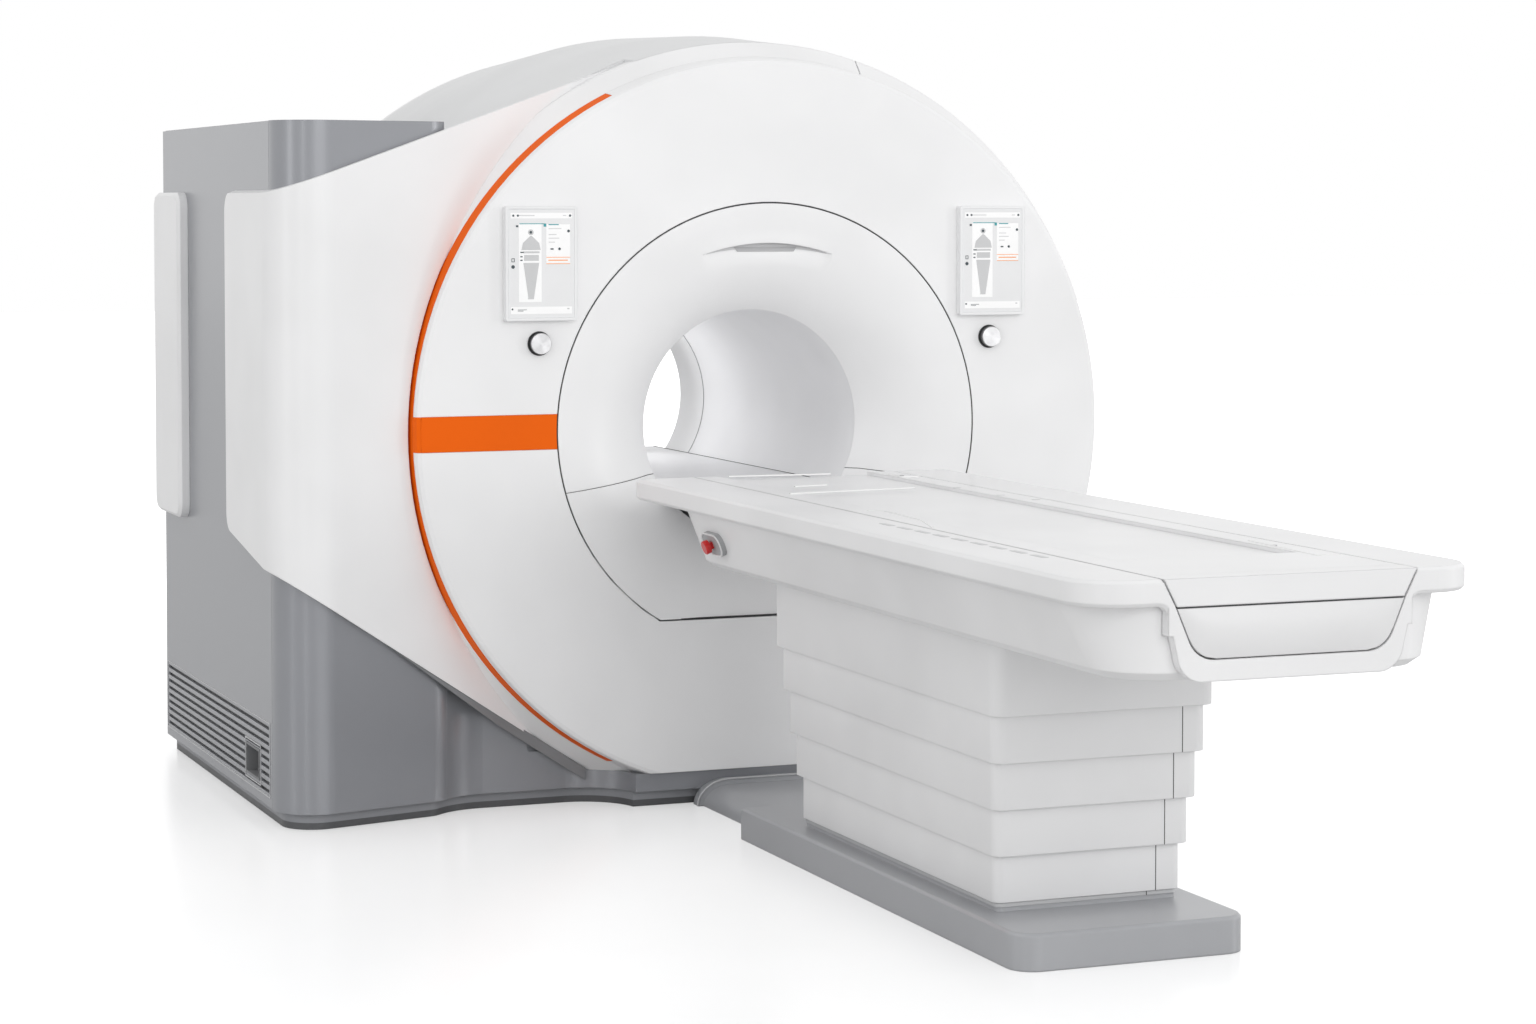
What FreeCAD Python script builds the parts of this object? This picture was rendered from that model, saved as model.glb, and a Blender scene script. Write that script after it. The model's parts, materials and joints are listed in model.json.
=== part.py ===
"""Scanner with a round bore, its patient table and its services cabinet.

Lengths are millimetres.  +X is to the right seen from the table, +Y runs into
the bore and +Z is up.  The origin lies on the floor under the isocentre.
"""
import FreeCAD
import Part
import Sketcher
import os
import re

DIMENSIONS = [
    # magnet covers
    ("bore_diameter", 600, "clear patient bore"),
    ("magnet_length", 1600, "front face to rear face"),
    ("cover_wall", 8, "wall of the moulded covers"),
    ("face_flat_radius", 941, "flat part of the front face"),
    ("face_edge_round", 14, "rounding at the edge of the front face"),
    ("seam_step", 22, "seam of the front cover outside the flat face"),
    ("seam_depth", 62, "that seam behind the front face"),
    ("rim_step", 40, "rear edge of the rim band outside the seam"),
    ("rim_run", 62, "depth of the rim band"),
    ("shoulder_step", 33, "shoulder of the barrel outside the rim"),
    ("shoulder_run", 376, "its place behind the rim"),
    ("crown_step", 16, "crown of the barrel outside the shoulder"),
    ("crown_run", 468, "its place behind the shoulder"),
    ("rear_step", 25, "rear end of the barrel inside the crown"),
    ("rear_cover_depth", 40, "depth of the rear cover"),
    ("rear_flare", 158, "rear funnel at the rear face outside the bore"),
    ("rear_funnel_depth", 310, "depth of the rear funnel"),
    ("rear_bell_depth", 110, "depth of its flare"),
    ("disc_bottom_height", 88, "flat lower edge of the front cover"),
    ("bottom_cut", 63, "height that this flat takes off the round"),
    ("cover_split_angle", 17, "joint of the side covers right of the top"),
    ("roof_angle", 120, "angle that the roof cover spans"),
    # front funnel
    ("ring_radius", 582, "round joint line of the front funnel"),
    ("ring_flat", 496, "flat lower joint line below the bore axis"),
    ("joint_gap", 4, "width of the visible joint lines"),
    ("funnel_depth", 141, "depth of the front funnel"),
    ("funnel_wall", 6, "wall of the funnel"),
    ("funnel_flange", 18, "flange behind the front cover"),
    ("funnel_joint_drop", 161, "funnel joint at the ring below the bore axis"),
    ("funnel_joint_rise", 34, "its rise towards the bore"),
    ("hood_gap", 105, "ring joint to the apex of the crescent"),
    ("hood_height", 46, "height of the crescent"),
    ("hood_tip_rise", 15, "crescent tips above its lower apex"),
    ("hood_half_width", 182, "half width of the crescent"),
    ("hood_depth", 60, "depth of the light box behind the face"),
    ("liner_wall", 6, "wall of the bore liner"),
    # accent, label, displays and knobs
    ("accent_width", 16, "width of the coloured strip"),
    ("accent_angle", 127, "arc of the coloured strip"),
    ("accent_front", 20, "strip front behind the front face"),
    ("label_height", 90, "height of the plain label band"),
    ("label_inlay", 1, "depth of its recess"),
    ("display_angle", 34.2, "direction of the displays above the horizontal"),
    ("display_width", 190, "display housing width"),
    ("display_length", 290, "display housing height"),
    ("display_thickness", 22, "display housing depth"),
    ("display_bezel", 8, "frame round the display glass"),
    ("glass_thickness", 3, "display glass"),
    ("knob_gap", 31, "display to the knob below it"),
    ("knob_diameter", 54, "knob cap"),
    ("knob_length", 20, "knob cap length"),
    ("knob_shaft", 8, "knob shaft diameter"),
    ("knob_edge", 1.2, "bevel of the knob cap"),
    # side covers and cabinet
    ("cabinet_reach", 245, "cabinet side beyond the crown of the barrel"),
    ("column_lap", 202, "right side of the cabinet column inside the crown"),
    ("column_corner", 107, "radius of the front left corner"),
    ("column_turn", 80, "radius where the column front turns to the lower body"),
    ("column_slope", 0.248, "backward slope of the column front"),
    ("cabinet_rise", 786, "cabinet top above the bore axis"),
    ("cabinet_depth", 1408, "cabinet rear behind the front face"),
    ("cabinet_wall", 10, "wall of the cabinet housing"),
    ("side_panel_wall", 8, "side panel thickness"),
    ("wing_wall", 20, "thickness of the left side cover"),
    ("wing_top_slope", 0.345, "slope of its upper edge"),
    ("wing_low_slope", 0.66, "slope of its lower edge"),
    ("wing_reach", 530, "its rear end on the cabinet side"),
    ("wing_side_drop", 265, "its lower rear corner below the bore axis"),
    ("wing_corner", 50, "radius of its rear corners"),
    ("louvre_top", 245, "top of the louvre field"),
    ("louvre_pitch", 20, "pitch of the louvre slots"),
    ("louvre_slot", 9, "height of a louvre slot"),
    ("recess_place", 325, "service recess behind the front face"),
    ("recess_width", 150, "service recess width"),
    ("recess_height", 80, "service recess height"),
    ("recess_low", 92, "service recess above the floor"),
    ("recess_depth", 50, "service recess depth"),
    ("side_cover_width", 330, "white cover at the cabinet rear"),
    ("side_cover_drop", 176, "its upper edge below the cabinet top"),
    ("side_cover_height", 900, "its height"),
    ("side_cover_thickness", 30, "its thickness"),
    ("side_cover_edge", 9, "its bevelled edge"),
    ("side_cover_corner", 45, "its corner radius"),
    ("plinth_height", 40, "dark recessed plinth"),
    ("plinth_inset", 22, "recess of the plinth"),
    ("skirt_setback", 138, "lower body behind the front face"),
    ("skirt_front", 12, "skirt under the disc behind the face"),
    ("skirt_half_width", 368, "half width of that skirt"),
    ("skirt_sweep", 150, "run of the sweep beside it"),
    ("body_half_width", 640, "half width of the lower body"),
    ("body_top", 500, "top of the lower body before the barrel is cut"),
    # magnet inside the covers
    ("vessel_radius", 850, "outer radius of the cryostat"),
    ("vessel_length", 1240, "cryostat length"),
    ("gradient_wall", 95, "wall of the gradient coil"),
    ("gradient_length", 1180, "gradient coil length"),
    ("body_coil_wall", 30, "wall of the body coil"),
    ("body_coil_length", 1100, "body coil length"),
    ("coil_gap", 9, "bore liner to the body coil"),
    ("coil_fit", 0.3, "gap of the coils in their seats"),
    ("magnet_foot_depth", 80, "depth of a magnet foot"),
    ("magnet_foot_spacing", 800, "distance between the magnet feet"),
    ("cold_head_radius", 62, "cold head radius"),
    ("cold_head_length", 130, "cold head height"),
    ("turret_size", 260, "service turret width"),
    ("turret_rise", 25, "service turret above the vessel"),
    # bridge in the bore
    ("bridge_gap", 0.3, "tabletop to bridge deck"),
    ("bridge_wall", 14, "deck thickness"),
    ("bridge_reach", 160, "deck in front of the face"),
    ("bridge_rear_gap", 10, "deck end inside the rear face"),
    ("bridge_leg", 120, "leg place from the middle"),
    # table
    ("table_drop", 113, "tabletop below the bore axis"),
    ("table_gap", 172, "front face to the table"),
    ("table_length", 2471, "table frame length"),
    ("rim_side", 154, "width of a side rim"),
    ("rim_height", 51, "height of the side rims"),
    ("rim_corner", 110, "plan radius of the near corners"),
    ("rim_edge", 7, "bevel of the rims' upper and lower edges"),
    ("board_clear", 5.9, "tabletop edges to the bore"),
    ("board_thickness", 53, "tabletop thickness"),
    ("board_gap", 4, "gap between tabletop and rims"),
    ("board_lead", 7, "tabletop end in front of the table end"),
    ("trough_width", 410, "hollow of the tabletop"),
    ("trough_depth", 9, "its depth"),
    ("trough_start", 330, "its place from the near end"),
    ("trough_length", 1500, "its length"),
    ("cap_length", 60, "end cap of the tabletop"),
    ("tray_depth", 46, "channel below the tabletop"),
    ("tray_wall", 12, "wall of that channel"),
    ("hull_inset", 30, "hull inside the outer faces of the rims"),
    ("hull_front_gap", 140, "hull behind the far end of the rims"),
    ("hull_height", 195, "tabletop to the underside of the hull"),
    ("hull_edge", 16, "height of the hull's bevelled lower edge"),
    ("hull_edge_slope", 55, "its slope"),
    ("hull_taper", 20.9, "slope of the hull sides"),
    ("hull_corner", 170, "plan corners of the hull"),
    ("hull_wall", 8, "hull wall"),
    ("panel_narrowing", 42, "end panel narrower on each side at its bottom"),
    ("panel_height", 152, "tabletop to the lower edge of the end panel"),
    ("panel_corner", 40, "rounding of its lower corners"),
    ("collar_wall", 16, "surround of the end panel beside its top"),
    ("collar_narrowing", 12, "lower end of that surround inside the tabletop's foot"),
    ("collar_corner", 50, "rounding of its lower corners"),
    ("rim_sweep", 24, "sweep from the rims into that surround"),
    ("panel_thickness", 22, "end panel thickness"),
    ("panel_gap", 2.5, "gap round the end panel"),
    ("rail_spacing", 380, "distance between the slide rails"),
    ("rail_width", 24, "slide rail width"),
    ("rail_height", 24, "slide rail height"),
    ("runner_length", 560, "runner length"),
    ("runner_wall", 5, "runner wall beside the rail"),
    ("pulley_radius", 15.7, "belt pulley radius"),
    ("pulley_width", 34, "belt pulley width"),
    ("pulley_inset", 95, "pulley axle from the frame ends"),
    ("belt_width", 30, "belt width"),
    ("belt_thickness", 2, "belt thickness"),
    ("running_gap", 0.3, "gap between sliding parts"),
    ("motor_length", 110, "belt motor length"),
    ("stop_place", 586, "emergency stop from the front face"),
    ("stop_drop", 123, "emergency stop below the tabletop"),
    ("stop_length", 118, "emergency stop bezel length"),
    ("stop_width", 56, "emergency stop bezel width"),
    ("stop_cap", 34, "emergency stop cap diameter"),
    ("stop_stem", 16, "width of the emergency stop's square stem"),
    ("stop_edge", 1.5, "bevel of the emergency stop cap"),
    # pedestal
    ("sleeve_width", 520, "uppermost sleeve width"),
    ("sleeve_near", 1900, "its near face from the front face"),
    ("sleeve_far", 669, "its far face from the front face"),
    ("sleeve_step_x", 10, "sideways step from sleeve to sleeve"),
    ("sleeve_step_y", 20, "lengthways step from sleeve to sleeve"),
    ("sleeve_low", 98, "lower edge of the lowest sleeve"),
    ("sleeve_rise", 101, "visible height of a sleeve"),
    ("sleeve_wall", 4, "sleeve wall"),
    ("sleeve_lip", 10, "height of the catching lips"),
    ("sleeve_corner", 34, "corner radius of the uppermost sleeve"),
    ("base_width", 537, "floor base width"),
    ("base_near", 2030, "its near end from the front face"),
    ("base_far", 482, "its far end from the front face"),
    ("base_height", 78, "floor base height"),
    ("base_corner", 55, "its corner radius"),
    ("base_edge", 6, "bevel of its upper edge"),
    ("split_place", 62, "joint line in the near face of a sleeve from its right"),
    ("split_width", 2, "width and depth of that line"),
    ("lift_travel", 380, "travel of the table lift"),
    ("stage_width", 300, "outer lift stage width"),
    ("stage_depth", 360, "outer lift stage depth"),
    ("stage_wall", 9.7, "lift stage wall"),
    ("stage_length", 192, "lift stage length"),
    ("lift_motor_width", 110, "lift motor width"),
    ("lift_motor_length", 150, "lift motor height"),
    # duct between magnet and table
    ("duct_half_width", 195, "half width of the floor duct"),
    ("duct_height", 52, "height of the floor duct"),
    ("duct_slope", 30, "width of its sloping sides"),
    ("rack_place", 430, "equipment rack behind the front face"),
    ("rack_rear_gap", 78, "equipment rack before the cabinet's rear"),
    ("rack_height", 1400, "equipment rack height"),
]

doc = FreeCAD.newDocument("scanner")
sheet = doc.addObject("Spreadsheet::Sheet", "dims")
for row, (alias, value, note) in enumerate(DIMENSIONS, start=1):
    sheet.set(f"A{row}", note)
    sheet.set(f"B{row}", str(value))
    sheet.setAlias(f"B{row}", alias)
doc.recompute()

# Places and forms that follow from the dimensions.
FORMULAS = {
    "face": "-magnet_length / 2",
    "bore_radius": "bore_diameter / 2",
    "floor_level": "-bore_axis_height",
    "edge_radius": "face_flat_radius + face_edge_round",
    "bottom_level": "bottom_cut - edge_radius",
    "bore_axis_height": "disc_bottom_height - bottom_level",
    "seam_radius": "face_flat_radius + seam_step",
    "rim_radius": "seam_radius + rim_step",
    "rim_depth": "seam_depth + rim_run",
    "shoulder_radius": "rim_radius + shoulder_step",
    "shoulder_depth": "rim_depth + shoulder_run",
    "crown_radius": "shoulder_radius + crown_step",
    "crown_depth": "shoulder_depth + crown_run",
    "rear_radius": "crown_radius - rear_step",
    "rear_ring_radius": "bore_radius + rear_flare",
    "shell_rear": "magnet_length - rear_cover_depth",
    "half_gap": "joint_gap / 2",
    "root_half": "sqrt(0.5)",
    # front funnel: an arc that leaves the face flat and ends at the bore
    "funnel_rim": "ring_radius - half_gap",
    "funnel_arc": "((funnel_rim - bore_radius)^2 + funnel_depth^2) / (2 * funnel_depth)",
    "funnel_turn": "atan((funnel_rim - bore_radius) / (funnel_arc - funnel_depth))",
    "funnel_flat": "half_gap - ring_flat",
    "funnel_end": "funnel_depth + joint_gap",
    "flange_level": "funnel_flat - funnel_flange + 2",
    "split_low": "-funnel_joint_drop",
    "split_high": "split_low + funnel_joint_rise",
    "hood_apex": "ring_radius - hood_gap",
    "hood_low": "hood_apex - hood_height",
    "hood_tip": "hood_low + hood_tip_rise",
    # displays, midway between the funnel ring and the edge of the face
    "display_circle": "(ring_radius + face_flat_radius) / 2",
    "display_x": "display_circle * cos(display_angle * 1 deg)",
    "display_rise": "display_circle * sin(display_angle * 1 deg)",
    "display_height": "bore_axis_height + display_rise",
    "knob_rise": "display_rise - display_length / 2 - knob_gap - knob_diameter / 2",
    "knob_height": "bore_axis_height + knob_rise",
    # column of the cabinet
    "column_left": "crown_radius + cabinet_reach",
    "column_right": "crown_radius - column_lap",
    "cabinet_height": "bore_axis_height + cabinet_rise",
    "side_cover_top": "cabinet_height - side_cover_drop",
    "side_cover_low": "side_cover_top - side_cover_height",
    "slope_angle": "atan(column_slope)",
    "corner_x": "-(column_left - column_corner)",
    "turn_x": "-(column_right + column_turn * root_half)",
    "column_x": "corner_x + column_corner * sin(slope_angle)",
    "column_y": "column_corner * (1 - cos(slope_angle))",
    "turn_y": "column_y + column_slope * (turn_x - column_x) + column_turn / cos(slope_angle)",
    "corner_mid": "225 deg + slope_angle / 2",
    "turn_mid": "(slope_angle - 135 deg) / 2",
    "meet_y": "turn_y - column_turn * root_half",
    "meet_radius": "(skirt_setback - meet_y) / (1 - root_half)",
    "meet_x": "meet_radius * root_half - column_right",
    "wing_outer": "column_corner + wing_wall",
    "wing_inner": "column_corner + 0.3",
    "wing_side_low": "wing_low_z + (wing_low_x - corner_x + wing_outer) * wing_low_slope",
    "top_tangent": "atan(wing_top_slope)",
    "low_tangent": "atan(wing_low_slope)",
    "wing_top_x": "-rim_radius * sin(top_tangent)",
    "wing_top_z": "rim_radius * cos(top_tangent)",
    "wing_low_x": "-rim_radius * sin(low_tangent)",
    "wing_low_z": "-rim_radius * cos(low_tangent)",
    "wing_back_y": "column_corner - wing_inner / cos(slope_angle) - column_slope * corner_x",
    "wing_front_y": "column_corner - wing_outer / cos(slope_angle) - column_slope * corner_x",
    "cabinet_inner": "crown_radius + 14",
    "rack_rear": "cabinet_depth - rack_rear_gap",
    "rack_right": "-(cabinet_inner + 6)",
    "rack_left": "20 - column_left",
    # sweep of the skirt
    "sweep_drop": "skirt_setback - skirt_front",
    "sweep_radius": "(skirt_sweep^2 + sweep_drop^2) / (2 * sweep_drop)",
    "sweep_mid": "(90 deg + atan((sweep_radius - sweep_drop) / skirt_sweep)) / 2",
    "sweep_end": "skirt_half_width + skirt_sweep",
    "sweep_mid_x": "sweep_end - sweep_radius * cos(sweep_mid)",
    "sweep_mid_y": "skirt_setback - sweep_radius * (1 - sin(sweep_mid))",
    # coils
    "vessel_front": "(magnet_length - vessel_length) / 2",
    "body_coil_inner": "bore_radius + liner_wall + coil_gap",
    "body_coil_outer": "body_coil_inner + body_coil_wall",
    "gradient_inner": "body_coil_outer + coil_fit",
    "gradient_outer": "gradient_inner + gradient_wall",
    "vessel_bore": "gradient_outer + coil_fit",
    "foot_reach": "sqrt((rim_radius - cover_wall - 4)^2 - bottom_level^2)",
    "magnet_foot_top": "-sqrt(vessel_radius^2 - foot_reach^2) + 20",
    # bridge and table
    "table_height": "bore_axis_height - table_drop",
    "board_half": "sqrt(bore_radius^2 - table_drop^2) - board_clear",
    "foot_half": "sqrt(bore_radius^2 - (table_drop + board_thickness)^2) - board_clear",
    "rim_half": "board_half + board_gap + rim_side",
    "board_low": "table_height - board_thickness",
    "deck_top": "board_low - bridge_gap - bore_axis_height",
    "deck_low": "deck_top - bridge_wall",
    "deck_radius": "bore_radius - 1",
    "table_near": "-(table_gap + table_length)",
    "rim_low": "table_height - rim_height",
    "tray_top": "board_low - tray_depth + 4",
    "tray_low": "tray_top - tray_wall",
    "tray_half": "foot_half + board_gap",
    "channel_half": "board_half + board_gap",
    "hull_half_width": "rim_half - hull_inset",
    "hull_bottom_height": "table_height - hull_height",
    "hull_depth": "rim_low - hull_bottom_height - hull_edge",
    "hull_step": "hull_depth * tan(hull_taper * 1 deg)",
    "hull_near": "panel_back + running_gap",
    "edge_step": "hull_edge * tan(hull_edge_slope * 1 deg)",
    "hull_far": "-(table_gap + hull_front_gap)",
    "rail_place": "rail_spacing / 2",
    "rail_top": "tray_top + rail_height",
    "axle_height": "tray_top + 21",
    "far_axle": "-(table_gap + pulley_inset)",
    "near_axle": "table_near + pulley_inset",
    "belt_inner": "pulley_radius + running_gap",
    "belt_outer": "belt_inner + belt_thickness",
    "panel_front": "table_near",
    "panel_back": "table_near + panel_thickness",
    "panel_low_height": "table_height - panel_height",
    "stop_height": "table_height - stop_drop",
    "collar_top": "foot_half + collar_wall",
    "collar_low": "foot_half - collar_narrowing",

    "panel_top_height": "board_low - 3",
    "stop_x": "hull_half_width - (rim_low - stop_height) * tan(hull_taper * 1 deg)",
    # pedestal
    "column_middle": "-(sleeve_near + sleeve_far) / 2",
    "foot_top": "sleeve_low",
    "stage_step": "lift_travel / 4",
    "stage_inset": "stage_wall + running_gap",
}
ALIASES = {alias for alias, value, note in DIMENSIONS}
WORD = re.compile(r"[a-z_][a-z_0-9]*")
BIG = 3000
PLANES = {"XY": "XY_Plane", "XZ": "XZ_Plane", "YZ": "YZ_Plane"}
sub_parts = []


# ---------------------------------------------------------------- helpers

def full(expression):
    """Expression with its names replaced by sheet cells and formulas."""
    def swap(match):
        word = match.group(0)
        if word in FORMULAS:
            return "(" + full(FORMULAS[word]) + ")"
        return "dims." + word if word in ALIASES else word
    return WORD.sub(swap, str(expression))


def number(expression):
    """Value of an expression."""
    value = sheet.evalExpression(full(expression))
    return float(getattr(value, "Value", value))


def place(item, x="0", y="0", z="0"):
    """Bind the position of an object to expressions."""
    for axis, expression in zip("xyz", (x, y, z)):
        item.setExpression(f"Placement.Base.{axis}", full(expression))


def new_body(name, x="0", y="face", z="0"):
    """Body in the plane of the front face, its origin on the floor."""
    body = doc.addObject("PartDesign::Body", name)
    body.Label = name
    place(body, x, y, z)
    sub_parts.append(body)
    return body


def bore_body(name):
    """Body whose origin is the bore axis in the plane of the front face."""
    return new_body(name, "0", "face", "bore_axis_height")


def new_sketch(body, plane, level="0"):
    """Sketch on an origin plane, moved along the positive third axis."""
    sketch = body.newObject("Sketcher::SketchObject", body.Name + "_sketch")
    role = PLANES[plane]
    origin = [f for f in body.Origin.OriginFeatures if f.Role == role][0]
    sketch.AttachmentSupport = [(origin, "")]
    sketch.MapMode = "FlatFace"
    sign = "-" if plane == "XZ" else ""
    sketch.setExpression("AttachmentOffset.Base.z", f"{sign}({full(level)})")
    return sketch


def pin(sketch, geometry, point, x, y):
    """Hold a sketch point at two bound distances from the origin."""
    for kind, expression, axis in (("DistanceX", x, -2), ("DistanceY", y, -1)):
        if str(expression) == "0":
            rule = Sketcher.Constraint("PointOnObject", geometry, point, axis)
            sketch.addConstraint(rule)
            continue
        rule = Sketcher.Constraint(kind, -1, 1, geometry, point, number(expression))
        index = sketch.addConstraint(rule)
        sketch.setExpression(f"Constraints[{index}]", full(expression))


def outline(sketch, points):
    """Closed outline of lines (x, y) and three-point arcs (mx, my, x, y).

    A first point of four values closes the outline with an arc.
    """
    values = [[number(v) for v in step] for step in points]
    first = sketch.GeometryCount
    count = len(points)
    ends = []
    for i in range(count):
        here = FreeCAD.Vector(*values[i][-2:], 0)
        step = values[(i + 1) % count]
        there = FreeCAD.Vector(*step[-2:], 0)
        if len(step) == 2:
            sketch.addGeometry(Part.LineSegment(here, there))
            ends.append((1, 2))
        else:
            middle = FreeCAD.Vector(*step[:2], 0)
            left_turn = (middle - here).cross(there - middle).z > 0
            arc = Part.Arc(here, middle, there) if left_turn else Part.Arc(there, middle, here)
            sketch.addGeometry(arc)
            ends.append((1, 2) if left_turn else (2, 1))
    for i in range(count):
        j = (i + 1) % count
        sketch.addConstraint(Sketcher.Constraint(
            "Coincident", first + i, ends[i][1], first + j, ends[j][0]))
    for i in range(count):
        pin(sketch, first + i, ends[i][0], *points[i][-2:])
    for i in range(count):
        step = points[(i + 1) % count]
        if len(step) == 4:
            middle = FreeCAD.Vector(number(step[0]), number(step[1]), 0)
            index = sketch.addGeometry(Part.Point(middle), True)
            pin(sketch, index, 1, step[0], step[1])
            sketch.addConstraint(
                Sketcher.Constraint("PointOnObject", index, 1, first + i))


def circle(sketch, x, y, radius):
    centre = FreeCAD.Vector(number(x), number(y), 0)
    normal = FreeCAD.Vector(0, 0, 1)
    index = sketch.addGeometry(Part.Circle(centre, normal, number(radius)))
    pin(sketch, index, 3, x, y)
    rule = Sketcher.Constraint("Radius", index, number(radius))
    place_of_rule = sketch.addConstraint(rule)
    sketch.setExpression(f"Constraints[{place_of_rule}]", full(radius))


def draw(sketch, *shapes):
    """Draw outlines (lists) and circles (tuples of x, y, radius)."""
    for shape in shapes:
        if isinstance(shape, tuple):
            circle(sketch, *shape)
        else:
            outline(sketch, shape)


def rectangle(x0, y0, x1, y1):
    return [(x0, y0), (x1, y0), (x1, y1), (x0, y1)]


def rounded(x0, y0, x1, y1, radius):
    """Rectangle outline with four rounded corners."""
    near = f"({radius}) * (1 - root_half)"
    r = f"({radius})"
    x0, y0, x1, y1 = (f"({v})" for v in (x0, y0, x1, y1))
    return [
        (f"{x0} + {near}", f"{y0} + {near}", f"{x0} + {r}", y0),
        (f"{x1} - {r}", y0),
        (f"{x1} - {near}", f"{y0} + {near}", x1, f"{y0} + {r}"),
        (x1, f"{y1} - {r}"),
        (f"{x1} - {near}", f"{y1} - {near}", f"{x1} - {r}", y1),
        (f"{x0} + {r}", y1),
        (f"{x0} + {near}", f"{y1} - {near}", x0, f"{y1} - {r}"),
        (x0, f"{y0} + {r}"),
    ]


def mirrored(points):
    """Outline mirrored in the second axis."""
    return [tuple(f"-({v})" if i % 2 == 0 else v for i, v in enumerate(step))
            for step in points]


def extrude(body, plane, shapes, low, high, cut=False, taper=None):
    """Pad or pocket shapes between two levels of the plane's axis."""
    sketch = new_sketch(body, plane, low)
    shapes = shapes if isinstance(shapes, list) and isinstance(shapes[0], list) else [shapes]
    draw(sketch, *shapes)
    kind = "PartDesign::Pocket" if cut else "PartDesign::Pad"
    feature = body.newObject(kind, body.Name + ("_cut" if cut else "_pad"))
    feature.Profile = sketch
    feature.setExpression("Length", f"({full(high)}) - ({full(low)})")
    along_normal = plane != "XZ"
    feature.Reversed = along_normal if cut else not along_normal
    if taper is not None:
        feature.setExpression("TaperAngle", full(taper))
    sketch.Visibility = False
    return feature


def revolve(body, shape, plane="YZ", angle=None, cut=False):
    """Turn an outline about the body's Y axis, fully or about its middle."""
    sketch = new_sketch(body, plane)
    draw(sketch, shape)
    kind = "PartDesign::Groove" if cut else "PartDesign::Revolution"
    feature = body.newObject(kind, body.Name + ("_groove" if cut else "_turned"))
    feature.Profile = sketch
    feature.ReferenceAxis = (sketch, ["H_Axis" if plane == "YZ" else "V_Axis"])
    if angle is None:
        feature.Angle = 360
    else:
        feature.Midplane = True
        feature.setExpression("Angle", full(angle))
    return feature


def repeat(body, feature, axis, length, count):
    """Linear pattern of a feature along an axis of its sketch."""
    pattern = body.newObject("PartDesign::LinearPattern", body.Name + "_row")
    pattern.Originals = [feature]
    pattern.Direction = (feature.Profile[0], [axis])
    pattern.setExpression("Length", full(length))
    pattern.Occurrences = count
    body.Tip = pattern
    return pattern


def soften_edges(body, test, size, kind, value):
    """Treat the edges of the last feature whose middle passes a test."""
    doc.recompute()
    base = body.Tip
    names = []
    for i, edge in enumerate(base.Shape.Edges, start=1):
        middle = edge.valueAt((edge.FirstParameter + edge.LastParameter) / 2)
        if test(edge, middle):
            names.append(f"Edge{i}")
    feature = body.newObject("PartDesign::" + kind, body.Name + "_edges")
    feature.Base = (base, names)
    feature.setExpression(value, full(size))
    return feature


def bevel_edges(body, test, size):
    return soften_edges(body, test, size, "Chamfer", "Size")


def round_edges(body, test, size):
    return soften_edges(body, test, size, "Fillet", "Radius")


def ruled(body, low_shape, low, high_shape, high, cut=False):
    """Solid with straight sides between two level outlines."""
    sections = []
    for shape, level in ((low_shape, low), (high_shape, high)):
        sections.append(new_sketch(body, "XY", level))
        draw(sections[-1], shape)
        sections[-1].Visibility = False
    kind = "SubtractiveLoft" if cut else "AdditiveLoft"
    feature = body.newObject("PartDesign::" + kind, body.Name + "_ruled")
    feature.Profile = sections[0]
    feature.Sections = [sections[1]]
    feature.Ruled = True
    return feature


# ----------------------------------------------------------- shared forms

def barrel(offset):
    """Outer line of the barrel as points (depth, radius)."""
    return [
        ("rim_depth + 2", f"rim_radius + {offset}"),
        ("shoulder_depth", f"shoulder_radius + {offset}"),
        ("crown_depth", f"crown_radius + {offset}"),
        ("shell_rear", f"rear_radius + {offset}"),
    ]


def clear_barrel(body):
    """Cut the space of the barrel and its covers out of a piece."""
    line = barrel("0.3")
    shape = [("-200", "0"), ("-200", line[0][1])] + line
    shape += [("magnet_length + 200", line[-1][1]), ("magnet_length + 200", "0")]
    revolve(body, shape, cut=True)


def cut_bottom(body):
    """Cut everything below the flat lower edge of the covers."""
    floor = rectangle(f"-{BIG}", f"-{BIG}", f"{BIG}", "bottom_level")
    extrude(body, "XZ", floor, "-100", "magnet_length + 100", cut=True)


def ring_outline(grow):
    """Round joint line of the funnel with its flat lower edge."""
    radius = f"(ring_radius + {grow})"
    flat = f"(-ring_flat - {grow})"
    half = f"sqrt({radius}^2 - {flat}^2)"
    return [("0", radius, f"-{half}", flat), (half, flat)]


def label_outline(shrink):
    """Band between the funnel ring and the edge of the front face."""
    inner = "(ring_radius + half_gap)"
    outer = f"(face_flat_radius - {shrink})"
    half = f"(label_height / 2 - {shrink})"
    near = f"-sqrt({inner}^2 - {half}^2)"
    far = f"-sqrt({outer}^2 - {half}^2)"
    return [(f"-{inner}", "0", near, f"-{half}"), (far, f"-{half}"),
            (f"-{outer}", "0", far, half), (near, half)]


def sector(start, end, reach):
    """Wedge from the bore axis between two directions, in degrees from the
    top, through a far corner list given by the caller."""
    first, last = [(f"{BIG} * sin(({angle}) * 1 deg)", f"{BIG} * cos(({angle}) * 1 deg)")
                   for angle in (start, end)]
    return [("0", "0"), first] + reach + [last]


def keep_sector(body, start, end, reach):
    """Cut the wedge between two directions away, over the whole depth."""
    extrude(body, "XZ", sector(start, end, reach),
            "-100", "magnet_length + 100", cut=True)


# ------------------------------------------------------------ front covers

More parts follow.
